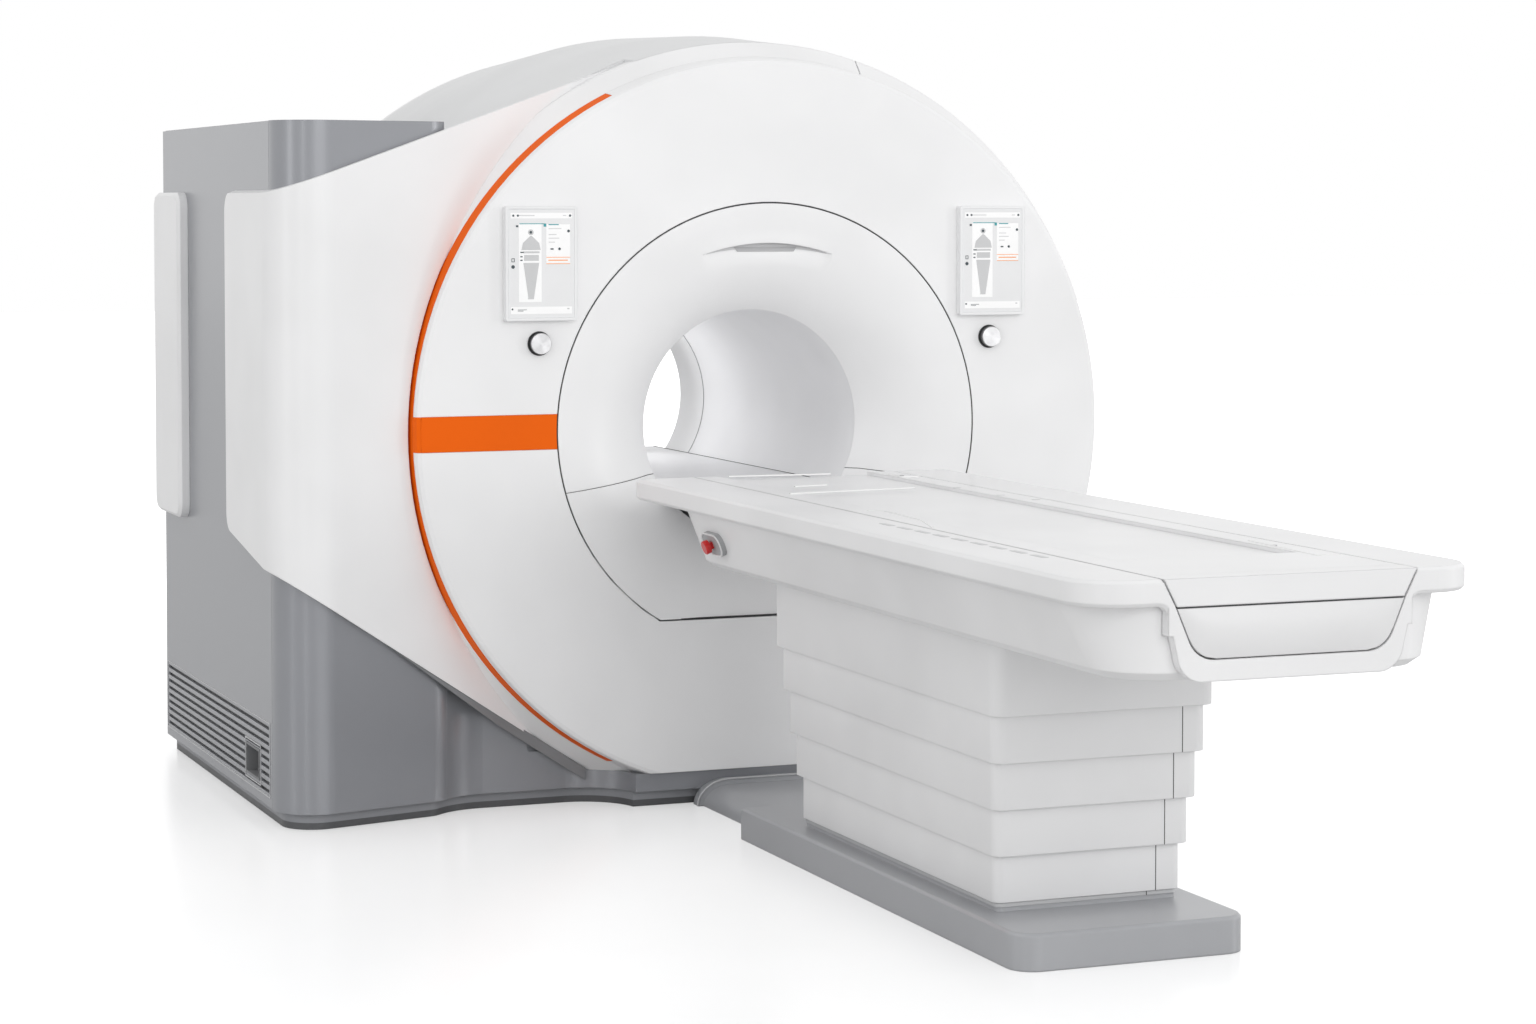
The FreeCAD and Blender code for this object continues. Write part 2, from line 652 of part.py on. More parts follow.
def front_cover():
    body = bore_body("front_cover")
    bend = "face_edge_round * (1 - root_half)"
    revolve(body, [
        ("0", "0"), ("0", "face_flat_radius"),
        (bend, f"edge_radius - {bend}"), ("face_edge_round", "edge_radius"),
        ("seam_depth", "seam_radius"), ("seam_depth", "seam_radius - cover_wall"),
        ("cover_wall", "face_flat_radius"), ("cover_wall", "0")])
    extrude(body, "XZ", ring_outline("half_gap"), "-5", "cover_wall + 5", cut=True)
    cut_bottom(body)
    half = "(sqrt(edge_radius^2 - bottom_level^2) - 3)"
    floor = rectangle(f"-{half}", "bottom_level", half, "bottom_level + cover_wall")
    extrude(body, "XZ", floor, "cover_wall - 1", "seam_depth")
    extrude(body, "XZ", label_outline("0"), "0", "label_inlay", cut=True)
    edge = [("-1200", "accent_front - 0.3"), ("-1200", "200"),
            ("-(seam_radius - accent_width - 0.3)", "200"),
            ("-(seam_radius - accent_width - 0.3)", "accent_front - 0.3")]
    revolve(body, edge, plane="XY", angle="accent_angle + 0.04", cut=True)
    for side in ("-", ""):
        hole = (f"{side}display_x", "knob_rise", "knob_shaft / 2 + 0.05")
        extrude(body, "XZ", hole, "-5", "cover_wall + 5", cut=True)


def accent_strip():
    body = bore_body("accent_strip")
    low = "-(seam_radius - accent_width)"
    slope = "(seam_radius - edge_radius) / (seam_depth - face_edge_round)"
    front = f"-(edge_radius + {slope} * (accent_front - face_edge_round))"
    revolve(body, [(low, "accent_front"), (front, "accent_front"),
                   ("-seam_radius", "seam_depth"), (low, "seam_depth")],
            plane="XY", angle="accent_angle")


def label_band():
    body = bore_body("label_band")
    extrude(body, "XZ", label_outline("0.3"), "-label_inlay", "label_inlay")


def funnel_line(wall, stretches):
    """Conical stretches on the funnel's arc, from the face to the bore."""
    reach = f"(funnel_arc - {wall})"
    turns = [f"(funnel_turn * {i} / {stretches})" for i in range(stretches + 1)]
    return [(f"funnel_arc - {reach} * cos({turn})", f"funnel_rim - {reach} * sin({turn})")
            for turn in turns]


def funnel_shape(body):
    """Trumpet wall of the front funnel with its flange, before the split."""
    front = funnel_line("0", 5)
    back = funnel_line("funnel_wall", 3)[::-1]
    flange_back = "cover_wall + funnel_wall"
    revolve(body, [("0", "funnel_rim")] + front[1:-1] + [
        ("funnel_depth", "bore_radius"), ("funnel_end", "bore_radius"),
        ("funnel_end", "bore_radius + funnel_wall")] + back[1:-1] + [
        (flange_back, "funnel_rim - funnel_wall"),
        (flange_back, "funnel_rim + funnel_flange"),
        ("cover_wall", "funnel_rim + funnel_flange"), ("cover_wall", "funnel_rim")])


def split_line(gap):
    """Joint of the funnel halves, rising towards the bore."""
    return [(f"{BIG}", f"split_low + {gap}"),
            ("ring_radius", f"split_low + {gap}"),
            ("bore_radius", f"split_high + {gap}"),
            ("-bore_radius", f"split_high + {gap}"),
            ("-ring_radius", f"split_low + {gap}"),
            (f"-{BIG}", f"split_low + {gap}")]


def hood_outline(shrink):
    """Crescent of the hood over the bore."""
    tip = f"(hood_half_width - 3 * ({shrink}))"
    return [("0", f"hood_low + {shrink}", f"-{tip}", "hood_tip"),
            ("0", f"hood_apex - {shrink}", tip, "hood_tip")]


def funnel_upper():
    body = bore_body("funnel_upper")
    funnel_shape(body)
    below = [(f"-{BIG}", f"-{BIG}"), (f"{BIG}", f"-{BIG}")] + split_line("0.8")
    extrude(body, "XZ", below, "-50", "funnel_end + 50", cut=True)
    extrude(body, "XZ", hood_outline("0"), "-50", "funnel_depth", cut=True)


def funnel_lower():
    body = bore_body("funnel_lower")
    funnel_shape(body)
    above = [(f"-{BIG}", f"{BIG}"), (f"{BIG}", f"{BIG}")] + split_line("-0.8")
    extrude(body, "XZ", above, "-50", "funnel_end + 50", cut=True)
    below = rectangle(f"-{BIG}", f"-{BIG}", f"{BIG}", "funnel_flat")
    extrude(body, "XZ", below, "-50", "funnel_end + 50", cut=True)
    half = "(sqrt((funnel_rim + funnel_flange)^2 - flange_level^2) - 1)"
    flange = rectangle(f"-{half}", "flange_level", half, "funnel_flat + 1")
    extrude(body, "XZ", flange, "cover_wall", "cover_wall + funnel_wall")


def hood_light():
    """Light box that closes the crescent behind the funnel."""
    body = bore_body("hood_light")
    extrude(body, "XZ", hood_outline("0.3"), "funnel_wall", "hood_depth")
    extrude(body, "XZ", hood_outline("6"), "0", "hood_depth - 16", cut=True)
    front = [("-50", "0"), ("-50", "hood_apex + 50"),
             ("16", "hood_apex + 50"), ("20", "hood_apex"),
             ("36", "hood_low"), ("36", "0")]
    extrude(body, "YZ", front, "-300", "300", cut=True)


def bore_liner():
    body = bore_body("bore_liner")
    revolve(body, [("funnel_end", "bore_radius"),
                   ("magnet_length - rear_funnel_depth", "bore_radius"),
                   ("magnet_length - rear_funnel_depth", "bore_radius + liner_wall"),
                   ("funnel_end", "bore_radius + liner_wall")])


def bore_bridge():
    body = bore_body("bore_bridge")
    top = "(sqrt(deck_radius^2 - deck_top^2))"
    low = "(sqrt(deck_radius^2 - deck_low^2))"
    deck = [(f"-{top}", "deck_top"), (f"-{low}", "deck_low"),
            (low, "deck_low"), (top, "deck_top")]
    extrude(body, "XZ", deck, "-bridge_reach", "magnet_length - bridge_rear_gap")
    foot = "sqrt((bore_radius - 0.3)^2 - (bridge_leg + 8)^2)"
    for side in ("-", ""):
        leg = rectangle(f"{side}(bridge_leg - 8)", f"-{foot}",
                        f"{side}(bridge_leg + 8)", "deck_low + 1")
        extrude(body, "XZ", leg, "funnel_end + 5", "magnet_length - rear_funnel_depth - 5")


# ------------------------------------------------------------- side covers

def rim_band(body, tail):
    """Sloping band behind the seam, with a straight tail of some length."""
    inner = "(seam_radius + 5.5 - 1.2 * cover_wall)"
    shape = [("seam_depth", "seam_radius - 33"), ("seam_depth", "seam_radius + 0.3"),
             ("rim_depth", "rim_radius")]
    if tail != "0":
        shape += [(f"rim_depth + {tail}", "rim_radius"),
                  (f"rim_depth + {tail}", "rim_radius - cover_wall")]
    shape += [("rim_depth", "rim_radius - cover_wall"),
              ("seam_depth + cover_wall", inner),
              ("seam_depth + cover_wall", "seam_radius - 33")]
    revolve(body, shape)


def wing_line(x, back):
    start = "wing_back_y" if back else "wing_front_y"
    return f"{start} + column_slope * ({x})"


def side_cover_left():
    body = bore_body("side_cover_left")
    outer_x = "corner_x - wing_outer"
    inner_x = "corner_x - wing_inner"
    plan = [
        (outer_x, "wing_reach"), (outer_x, "column_corner"),
        ("corner_x + wing_outer * cos(corner_mid)",
         "column_corner + wing_outer * sin(corner_mid)",
         "corner_x + wing_outer * sin(slope_angle)",
         "column_corner - wing_outer * cos(slope_angle)"),
        ("wing_top_x", wing_line("wing_top_x", False)),
        ("wing_top_x", wing_line("wing_top_x", True)),
        ("corner_x + wing_inner * sin(slope_angle)",
         "column_corner - wing_inner * cos(slope_angle)"),
        ("corner_x + wing_inner * cos(corner_mid)",
         "column_corner + wing_inner * sin(corner_mid)",
         inner_x, "column_corner"),
        (inner_x, "wing_reach")]
    extrude(body, "XY", plan, "wing_low_z", "wing_top_z")
    above = [("wing_top_x", "wing_top_z"),
             ("wing_top_x - 1200", "wing_top_z - 1200 * wing_top_slope"),
             ("wing_top_x - 1200", "wing_top_z + 200"),
             ("wing_top_x + 50", "wing_top_z + 200"), ("wing_top_x + 50", "wing_top_z")]
    extrude(body, "XZ", above, "-200", "wing_reach + 100", cut=True)
    below = [("wing_low_x", "wing_low_z"),
             ("wing_low_x - 1000", "wing_low_z + 1000 * wing_low_slope"),
             ("wing_low_x - 1000", "wing_low_z - 200"),
             ("0", "wing_low_z - 200"), ("0", "wing_low_z")]
    extrude(body, "XZ", below, "-200", "wing_reach + 100", cut=True)
    extrude(body, "XZ", ("0", "0", "seam_radius + 2"), "-200", "wing_reach", cut=True)
    end = [("wing_reach + 1", "-wing_side_drop"), ("column_corner", "wing_side_low"),
           ("column_corner", f"-{BIG}"), ("wing_reach + 1", f"-{BIG}")]
    extrude(body, "YZ", end, "-(column_left + 100)", "corner_x - 80", cut=True)
    rear, side = number("wing_reach"), number(f"({outer_x} + {inner_x}) / 2")
    round_edges(body, lambda edge, p: abs(p.y - rear) < 0.01 and abs(p.x - side) < 0.01,
                "wing_corner")
    rim_band(body, "120")
    behind = [("wing_top_x - 800", wing_line("wing_top_x - 800", True)),
              ("wing_top_x", wing_line("wing_top_x", True)),
              ("wing_top_x", "rim_depth"), ("900", "rim_depth"),
              ("900", "600"), ("wing_top_x - 800", "600")]
    extrude(body, "XY", behind, "-1200", "1200", cut=True)
    tail = rectangle("-1200", "-1200", "0", "wing_low_z")
    extrude(body, "XZ", tail, "rim_depth", "600", cut=True)
    keep_sector(body, "cover_split_angle - 0.09", "180",
                [(f"{BIG}", f"{BIG}"), (f"{BIG}", f"-{BIG}")])
    cut_bottom(body)


def side_cover_right():
    body = bore_body("side_cover_right")
    rim_band(body, "0")
    keep_sector(body, "cover_split_angle + 0.09", "180",
                [(f"-{BIG}", f"{BIG}"), (f"-{BIG}", f"-{BIG}")])
    cut_bottom(body)


# ------------------------------------------------------------------ barrel

def barrel_shell(body):
    """Barrel wall: conical outside, stepped cylinders inside."""
    rear, middle, front = (f"{radius} - cover_wall" for radius in
                           ("rear_radius", "shoulder_radius", "rim_radius"))
    revolve(body, barrel("0") + [
        ("shell_rear", rear), ("crown_depth", rear), ("crown_depth", middle),
        ("shoulder_depth", middle), ("shoulder_depth", front), ("rim_depth + 2", front)])


def clear_wing(body):
    """Cut the shells where the left side cover stands in front of them."""
    line = [("wing_top_x", wing_line("wing_top_x", True) + " + 0.5"),
            ("wing_top_x - 1200", wing_line("wing_top_x - 1200", True) + " + 0.5"),
            ("wing_top_x - 1200", "-300"), ("wing_top_x", "-300")]
    extrude(body, "XY", line, "wing_low_z", f"{BIG}", cut=True)


def roof_cover():
    body = bore_body("roof_cover")
    barrel_shell(body)
    keep_sector(body, "roof_angle / 2 - 0.08", "-roof_angle / 2 + 0.08",
                [(f"{BIG}", f"-{BIG}"), (f"-{BIG}", f"-{BIG}")])
    clear_wing(body)


def side_shell(name, side):
    body = bore_body(name)
    barrel_shell(body)
    keep_sector(body, f"{side}(roof_angle / 2 + 0.08)", "180",
                [(f"{side}{BIG}", f"{BIG}"), (f"-{side}{BIG}".replace("--", ""), f"{BIG}"),
                 (f"-{side}{BIG}".replace("--", ""), f"-{BIG}")])
    if side == "-":
        clear_wing(body)
    cut_bottom(body)


def rear_cover():
    body = bore_body("rear_cover")
    edge = "face_edge_round"
    hole = "(rear_ring_radius + joint_gap)"
    revolve(body, [
        ("shell_rear", "rear_radius"), (f"magnet_length - {edge}", "rear_radius"),
        ("magnet_length", f"rear_radius - {edge}"),
        ("magnet_length", hole), ("magnet_length - cover_wall", hole),
        ("magnet_length - cover_wall", f"rear_radius - {edge}"),
        ("shell_rear", "rear_radius - cover_wall")])
    cut_bottom(body)
    half = "(sqrt((rear_radius - cover_wall)^2 - bottom_level^2) + 2)"
    floor = rectangle(f"-{half}", "bottom_level", half, "bottom_level + cover_wall")
    extrude(body, "XZ", floor, "shell_rear", "magnet_length - cover_wall + 1")


def rear_funnel():
    body = bore_body("rear_funnel")
    start = "magnet_length - rear_funnel_depth"
    inside = "magnet_length - cover_wall"
    back = f"{inside} - funnel_wall"
    bell = "magnet_length - rear_bell_depth"
    revolve(body, [
        (start, "bore_radius"), (bell, "bore_radius"),
        ("magnet_length - 40", "bore_radius + 50"), ("magnet_length", "rear_ring_radius"),
        (inside, "rear_ring_radius"), (inside, "rear_ring_radius + 20"),
        (back, "rear_ring_radius + 20"), (back, "rear_ring_radius - 12"),
        (bell, "bore_radius + funnel_wall"), (start, "bore_radius + funnel_wall")])


# -------------------------------------------------------------- lower body

def body_outline(inset):
    """Plan of the lower body: skirt, sweeps and set back sides."""
    left = f"-(column_right + {inset} * root_half)"
    right = f"body_half_width - {inset}"
    meet = f"(meet_radius + {inset})"
    half_sweep = [("sweep_mid_x", f"sweep_mid_y + {inset}",
                   "skirt_half_width", f"skirt_front + {inset}")]
    back = f"magnet_length - {inset}"
    return [
        (left, f"skirt_setback - meet_radius + {meet} * root_half"),
        (f"meet_x - {meet} * sin(22.5 deg)",
         f"skirt_setback - meet_radius + {meet} * cos(22.5 deg)",
         "meet_x", f"skirt_setback + {inset}"),
        ("-sweep_end", f"skirt_setback + {inset}"),
        ("-" + half_sweep[0][0], half_sweep[0][1], "-skirt_half_width", half_sweep[0][3]),
        ("skirt_half_width", half_sweep[0][3]),
        (half_sweep[0][0], half_sweep[0][1], "sweep_end", f"skirt_setback + {inset}"),
        (right, f"skirt_setback + {inset}"), (right, back), (left, back)]


def lower_body():
    body = new_body("lower_body", z="bore_axis_height")
    low = "plinth_height - bore_axis_height"
    extrude(body, "XY", body_outline("0"), low, "body_top - bore_axis_height")
    clear_barrel(body)
    clear_wing(body)
    extrude(body, "XY", body_outline("0"), low, "bottom_level")


def column_outline(inset):
    """Plan of the cabinet with its round front column."""
    corner = f"(column_corner - {inset})"
    turn = f"(column_turn - {inset})"
    left = f"-(column_left - {inset})"
    right = f"-(column_right + {inset} * root_half)"
    back = f"cabinet_depth - {inset}"
    return [
        (left, back), (left, "column_corner"),
        (f"corner_x + {corner} * cos(corner_mid)",
         f"column_corner + {corner} * sin(corner_mid)",
         f"corner_x + {corner} * sin(slope_angle)",
         f"column_corner - {corner} * cos(slope_angle)"),
        (f"turn_x + {turn} * sin(slope_angle)", f"turn_y - {turn} * cos(slope_angle)"),
        (f"turn_x + {turn} * cos(turn_mid)", f"turn_y + {turn} * sin(turn_mid)",
         right, f"turn_y - {turn} * root_half"),
        (right, back)]


def plinth():
    body = new_body("plinth")
    extrude(body, "XY", body_outline("plinth_inset"), "0", "plinth_height")
    extrude(body, "XY", column_outline("plinth_inset"), "0", "plinth_height")
    bridge = rectangle("-(column_right + 60)", "skirt_setback + 60",
                       "-(column_right - 60)", "cabinet_depth - 60")
    extrude(body, "XY", bridge, "0", "plinth_height")


# ----------------------------------------------------------------- cabinet

def cabinet_housing():
    body = new_body("cabinet_housing", z="bore_axis_height")
    low = "plinth_height - bore_axis_height"
    top = "cabinet_height - bore_axis_height"
    extrude(body, "XY", column_outline("0"), low, top)
    side = "-(column_left - side_panel_wall)"
    panel = rectangle("column_corner + 3", f"{low} - 1", "cabinet_depth + 5", f"{top} + 1")
    extrude(body, "YZ", panel, "-(column_left + 5)", side, cut=True)
    cavity = rectangle("column_corner + 28", f"{low} + 20",
                       "cabinet_depth - 25", f"{top} - 25")
    extrude(body, "YZ", cavity, f"{side} - 1", "-cabinet_inner", cut=True)
    clear_barrel(body)


def louvre(length_low, length_high, row):
    """Outline of one slot, counted from the top row."""
    top = f"louvre_top - {row} * louvre_pitch"
    return rectangle(length_low, f"{top} - louvre_slot", length_high, top)


def cabinet_side_panel():
    body = new_body("cabinet_side_panel")
    side = "-(column_left - side_panel_wall)"
    outer = "-column_left"
    plate = rectangle("column_corner + 5", "plinth_height + 2",
                      "cabinet_depth", "cabinet_height - 2")
    extrude(body, "YZ", plate, outer, side)
    front = "column_corner + 40"
    rear = "cabinet_depth - 26"
    below = "recess_place - recess_width / 2 - 14"
    behind = "recess_place + recess_width / 2 + 14"
    for spans, row, count in (([(front, rear)], 3, 4),
                              ([(front, below), (behind, rear)], 7, 4),
                              ([(front, rear)], 8, 1)):
        slots = [louvre(a, b, row) for a, b in spans]
        slot = extrude(body, "YZ", slots, f"{outer} - 1", f"{side} + 1", cut=True)
        if count > 1:
            repeat(body, slot, "V_Axis", f"{count - 1} * louvre_pitch", count)
    window = rectangle("recess_place - recess_width / 2 - 0.3", "recess_low - 0.3",
                       "recess_place + recess_width / 2 + 0.3",
                       "recess_low + recess_height + 0.3")
    extrude(body, "YZ", window, f"{outer} - 1", f"{side} + 1", cut=True)


def service_recess():
    body = new_body("service_recess")
    low = "recess_place - recess_width / 2"
    high = "recess_place + recess_width / 2"
    box = rectangle(low, "recess_low", high, "recess_low + recess_height")
    extrude(body, "YZ", box, "-(column_left + 2)", "-(column_left - recess_depth)")
    hollow = rectangle(f"{low} + 6", "recess_low + 6", f"{high} - 6",
                       "recess_low + recess_height - 6")
    extrude(body, "YZ", hollow, "-(column_left + 5)",
            "-(column_left - recess_depth + 6)", cut=True)


def cabinet_side_cover():
    body = new_body("cabinet_side_cover")
    plate = rounded("cabinet_depth - side_cover_width", "side_cover_low",
                    "cabinet_depth - 4", "side_cover_top", "side_cover_corner")
    extrude(body, "YZ", plate, "-(column_left + side_cover_thickness)", "-column_left")
    front = number("-(column_left + side_cover_thickness)")
    bevel_edges(body, lambda edge, p: abs(p.x - front) < 0.01, "side_cover_edge")


def equipment_rack():
    body = new_body("equipment_rack")
    low = "plinth_height + 20"
    block = rectangle("rack_left", "rack_place", "rack_right", "rack_rear")
    extrude(body, "XY", block, low, f"{low} + rack_height")


# ------------------------------------------------------------------ magnet

def cryostat_vessel():
    body = bore_body("cryostat_vessel")
    revolve(body, rectangle("vessel_front", "vessel_bore",
                            "vessel_front + vessel_length", "vessel_radius"))
    half = "turret_size / 2"
    middle = "magnet_length / 2"
    turret = rectangle(f"-{half}", f"{middle} - {half}", half, f"{middle} + {half}")
    extrude(body, "XY", turret, "vessel_radius - 60", "vessel_radius + turret_rise")
    foot = rectangle("-foot_reach", "bottom_level", "foot_reach", "magnet_foot_top")
    for way in ("-", "+"):
        at = f"({middle} {way} magnet_foot_spacing / 2)"
        extrude(body, "XZ", foot, f"{at} - magnet_foot_depth / 2", f"{at} + magnet_foot_depth / 2")


def cold_head():
    body = bore_body("cold_head")
    low = "vessel_radius + turret_rise"
    middle = "magnet_length / 2"
    extrude(body, "XY", ("0", middle, "cold_head_radius"), low, f"{low} + 30")
    half = "(cold_head_radius - 24)"
    motor = rectangle(f"-{half}", f"{middle} - {half}", half, f"{middle} + {half}")
    extrude(body, "XY", motor, f"{low} + 30", f"{low} + cold_head_length")


def coil(name, inner, outer, length):
    """Tube in the middle of the magnet."""
    body = bore_body(name)
    front = f"(magnet_length - {length}) / 2"
    revolve(body, rectangle(front, inner, f"{front} + {length}", outer))


# ---------------------------------------------------- displays and knobs

def display_housing(name, side):
    body = new_body(name, f"{side}display_x", "face", "display_height")
    half_x = "display_width / 2"
    half_z = "display_length / 2"
    case = rounded(f"-{half_x}", f"-{half_z}", half_x, half_z, "6")
    extrude(body, "XZ", case, "-display_thickness", "0")
    window = rectangle(f"-({half_x} - display_bezel)", f"-({half_z} - display_bezel)",
                       f"{half_x} - display_bezel", f"{half_z} - display_bezel")
    extrude(body, "XZ", window, "-display_thickness - 1",
            "-display_thickness + glass_thickness", cut=True)


def display_glass(name, side):
    body = new_body(name, f"{side}display_x", "face", "display_height")
    half_x = "(display_width / 2 - display_bezel - 0.2)"
    half_z = "(display_length / 2 - display_bezel - 0.2)"
    extrude(body, "XZ", rectangle(f"-{half_x}", f"-{half_z}", half_x, half_z),
            "-display_thickness + 0.5", "-display_thickness + glass_thickness")


def knob(name, side):
    """Turning knob with its shaft through the front cover."""
    body = new_body(name, f"{side}display_x", "face", "knob_height")
    radius = "knob_diameter / 2"
    front = "-(knob_length + 0.3)"
    revolve(body, [
        (front, "0"), (front, f"{radius} - knob_edge"), (f"{front} + knob_edge", radius),
        ("-0.3", radius), ("-0.3", "knob_shaft / 2"),
        ("cover_wall + 12", "knob_shaft / 2"), ("cover_wall + 12", "0")])


# -------------------------------------------------------- duct and pedestal

def floor_duct():
    body = new_body("floor_duct")
    top = "(duct_half_width - duct_slope)"
    section = [("-duct_half_width", "0"), ("duct_half_width", "0"),
               (top, "duct_height"), (f"-{top}", "duct_height")]
    extrude(body, "XZ", section, "-base_far", "skirt_front")
    collar = [("-(duct_half_width + 14)", "0"), ("duct_half_width + 14", "0"),
              (f"{top} + 14", "duct_height + 12"), (f"-({top} + 14)", "duct_height + 12")]
    extrude(body, "XZ", collar, "-26", "skirt_front")


def base_plate():
    body = new_body("base_plate")
    half = "base_width / 2"
    near = "base_corner * (1 - root_half)"
    plan = [
        (f"-{half}", "-base_far"), (f"-{half}", "-base_near + base_corner"),
        (f"-{half} + {near}", f"-base_near + {near}", f"-{half} + base_corner", "-base_near"),
        (f"{half} - base_corner", "-base_near"),
        (f"{half} - {near}", f"-base_near + {near}", half, "-base_near + base_corner"),
        (half, "-base_far")]
    extrude(body, "XY", plan, "0", "base_height")
    top = number("base_height")
    bevel_edges(body, lambda edge, p: abs(p.z - top) < 0.01, "base_edge")
    foot = sleeve_outline(5, "-8", "-8")
    extrude(body, "XY", foot, "base_height - 10", "foot_top")


def sleeve_outline(index, grow_x, grow_y):
    """Plan of a sleeve, counted from the top, grown by some distance."""
    half = f"(sleeve_width / 2 - {index - 1} * sleeve_step_x + {grow_x})"
    near = f"(-sleeve_near + {index - 1} * sleeve_step_y - ({grow_y}))"
    far = f"(-sleeve_far - {index - 1} * sleeve_step_y + ({grow_y}))"
    radius = f"(sleeve_corner - {index - 1} * 3 + ({grow_x}))"
    return rounded(f"-{half}", near, half, far, radius)


def sleeve(index):
    """Rectangular sleeve; its lower lip catches the flange of the next."""
    body = new_body(f"sleeve_{index}")
    low = f"(sleeve_low + {5 - index} * sleeve_rise)"
    top = f"({low} + sleeve_rise + 2 * sleeve_lip + 0.3)" if index > 1 else "hull_bottom_height"
    extrude(body, "XY", sleeve_outline(index, "0", "0"), low, top)
    if index > 1:
        flange = sleeve_outline(index, "sleeve_step_x - sleeve_wall - 1",
                                "sleeve_step_y - sleeve_wall - 1")
        extrude(body, "XY", flange, f"{top} - sleeve_lip", top)
    hollow = sleeve_outline(index, "-sleeve_wall", "-sleeve_wall")
    lip = f"{low} + sleeve_lip" if index < 5 else f"{low} - 1"
    extrude(body, "XY", hollow, lip, f"{top} + 1", cut=True)
    if index < 5:
        throat = sleeve_outline(index, "-(sleeve_step_x - 1)", "-(sleeve_step_y - 1)")
        extrude(body, "XY", throat, f"{low} - 1", f"{low} + sleeve_lip + 1", cut=True)
    right = f"(sleeve_width / 2 - {index - 1} * sleeve_step_x)"
    near = f"(-sleeve_near + {index - 1} * sleeve_step_y)"
    place_x = f"({right} - {index} * split_place / 2)"
    line = rectangle(place_x, f"{near} - 1", f"{place_x} + split_width",
                     f"{near} + split_width")
    extrude(body, "XY", line, f"{low} - 1", f"{low} + sleeve_rise", cut=True)


def lift_stage(index):
    """Square tube of the lift column, counted from the floor."""
    body = new_body(f"lift_stage_{index}", "0", "face + column_middle")
    low = f"(foot_top + {index - 1} * stage_step + {'running_gap' if index > 1 else '0'})"
    top = f"({low} + stage_length)" if index < 5 else "hull_bottom_height"
    half_x = f"(stage_width / 2 - {index - 1} * stage_inset)"
    half_y = f"(stage_depth / 2 - {index - 1} * stage_inset)"
    extrude(body, "XY", rectangle(f"-{half_x}", f"-{half_y}", half_x, half_y), low, top)
    hollow = rectangle(f"-({half_x} - stage_wall)", f"-({half_y} - stage_wall)",
                       f"{half_x} - stage_wall", f"{half_y} - stage_wall")
    extrude(body, "XY", hollow, f"{low} - 1", f"{top} + 1", cut=True)


def lift_motor():
    body = new_body("lift_motor", "0", "face + column_middle + stage_depth / 2 + 130")
    half = "lift_motor_width / 2"
    extrude(body, "XY", rectangle(f"-{half}", f"-{half}", half, half),
            "foot_top", "foot_top + lift_motor_length")


# ------------------------------------------------------------------- table

def trapezoid(top_half, top, low_half, low, corner, side):
    """Half of an outline narrowing downwards, with a rounded lower corner."""
    rise = f"({top_half} - {low_half}) / ({top} - {low}) * {corner}"
    foot = (f"{side}({low_half} - {corner})", low)
    bend = (f"{side}({low_half} - 0.15 * {corner})", f"{low} + 0.25 * {corner}")
    return foot, bend, (f"{side}({low_half} + {rise})", f"{low} + {corner}")


def panel_outline(grow):
    """Trapezoid of the end panel with rounded lower corners."""
    top = f"(foot_half + {grow})"
    sizes = (top, "panel_top_height", f"(foot_half - panel_narrowing + {grow})",
             f"(panel_low_height - {grow})", "panel_corner")
    foot, bend, side = trapezoid(*sizes, "-")
    right_foot, right_bend, right_side = trapezoid(*sizes, "")
    return [(f"-{top}", "panel_top_height"), side, bend + foot, right_foot,
            right_bend + right_side, (top, "panel_top_height")]


def collar_outline():
    """Surround of the end panel, swept into the rims and as low as the hull."""
    sizes = ("collar_top", "(rim_low - rim_sweep)", "collar_low",
             "hull_bottom_height", "collar_corner")
    foot, bend, side = trapezoid(*sizes, "-")
    right_foot, right_bend, right_side = trapezoid(*sizes, "")
    near, wide = "rim_sweep * (1 - root_half)", "(collar_top + rim_sweep)"
    return [
        (f"-{wide}", "rim_low + 1"), (f"-{wide}", "rim_low"),
        (f"-(collar_top + {near})", f"rim_low - {near}", "-collar_top", "rim_low - rim_sweep"),
        side, bend + foot, right_foot, right_bend + right_side,
        ("collar_top", "rim_low - rim_sweep"),
        (f"collar_top + {near}", f"rim_low - {near}", wide, "rim_low"),
        (wide, "rim_low + 1")]


def bevel_rims(body):
    """Bevel the upper and lower outer edges of the rims."""
    top, low, half = (number(v) for v in ("table_height", "rim_low", "rim_half"))
    near, corner = number("table_near"), number("rim_corner")

    def outer(edge, p):
        if abs(p.z - top) > 0.01 and abs(p.z - low) > 0.01:
            return False
        return abs(p.x) > half - 0.3 * corner - 1 or (
            abs(p.x) > number("channel_half") + 1 and abs(p.y - near) < 0.01
            and abs(p.z - top) < 0.01)

    bevel_edges(body, outer, "rim_edge")


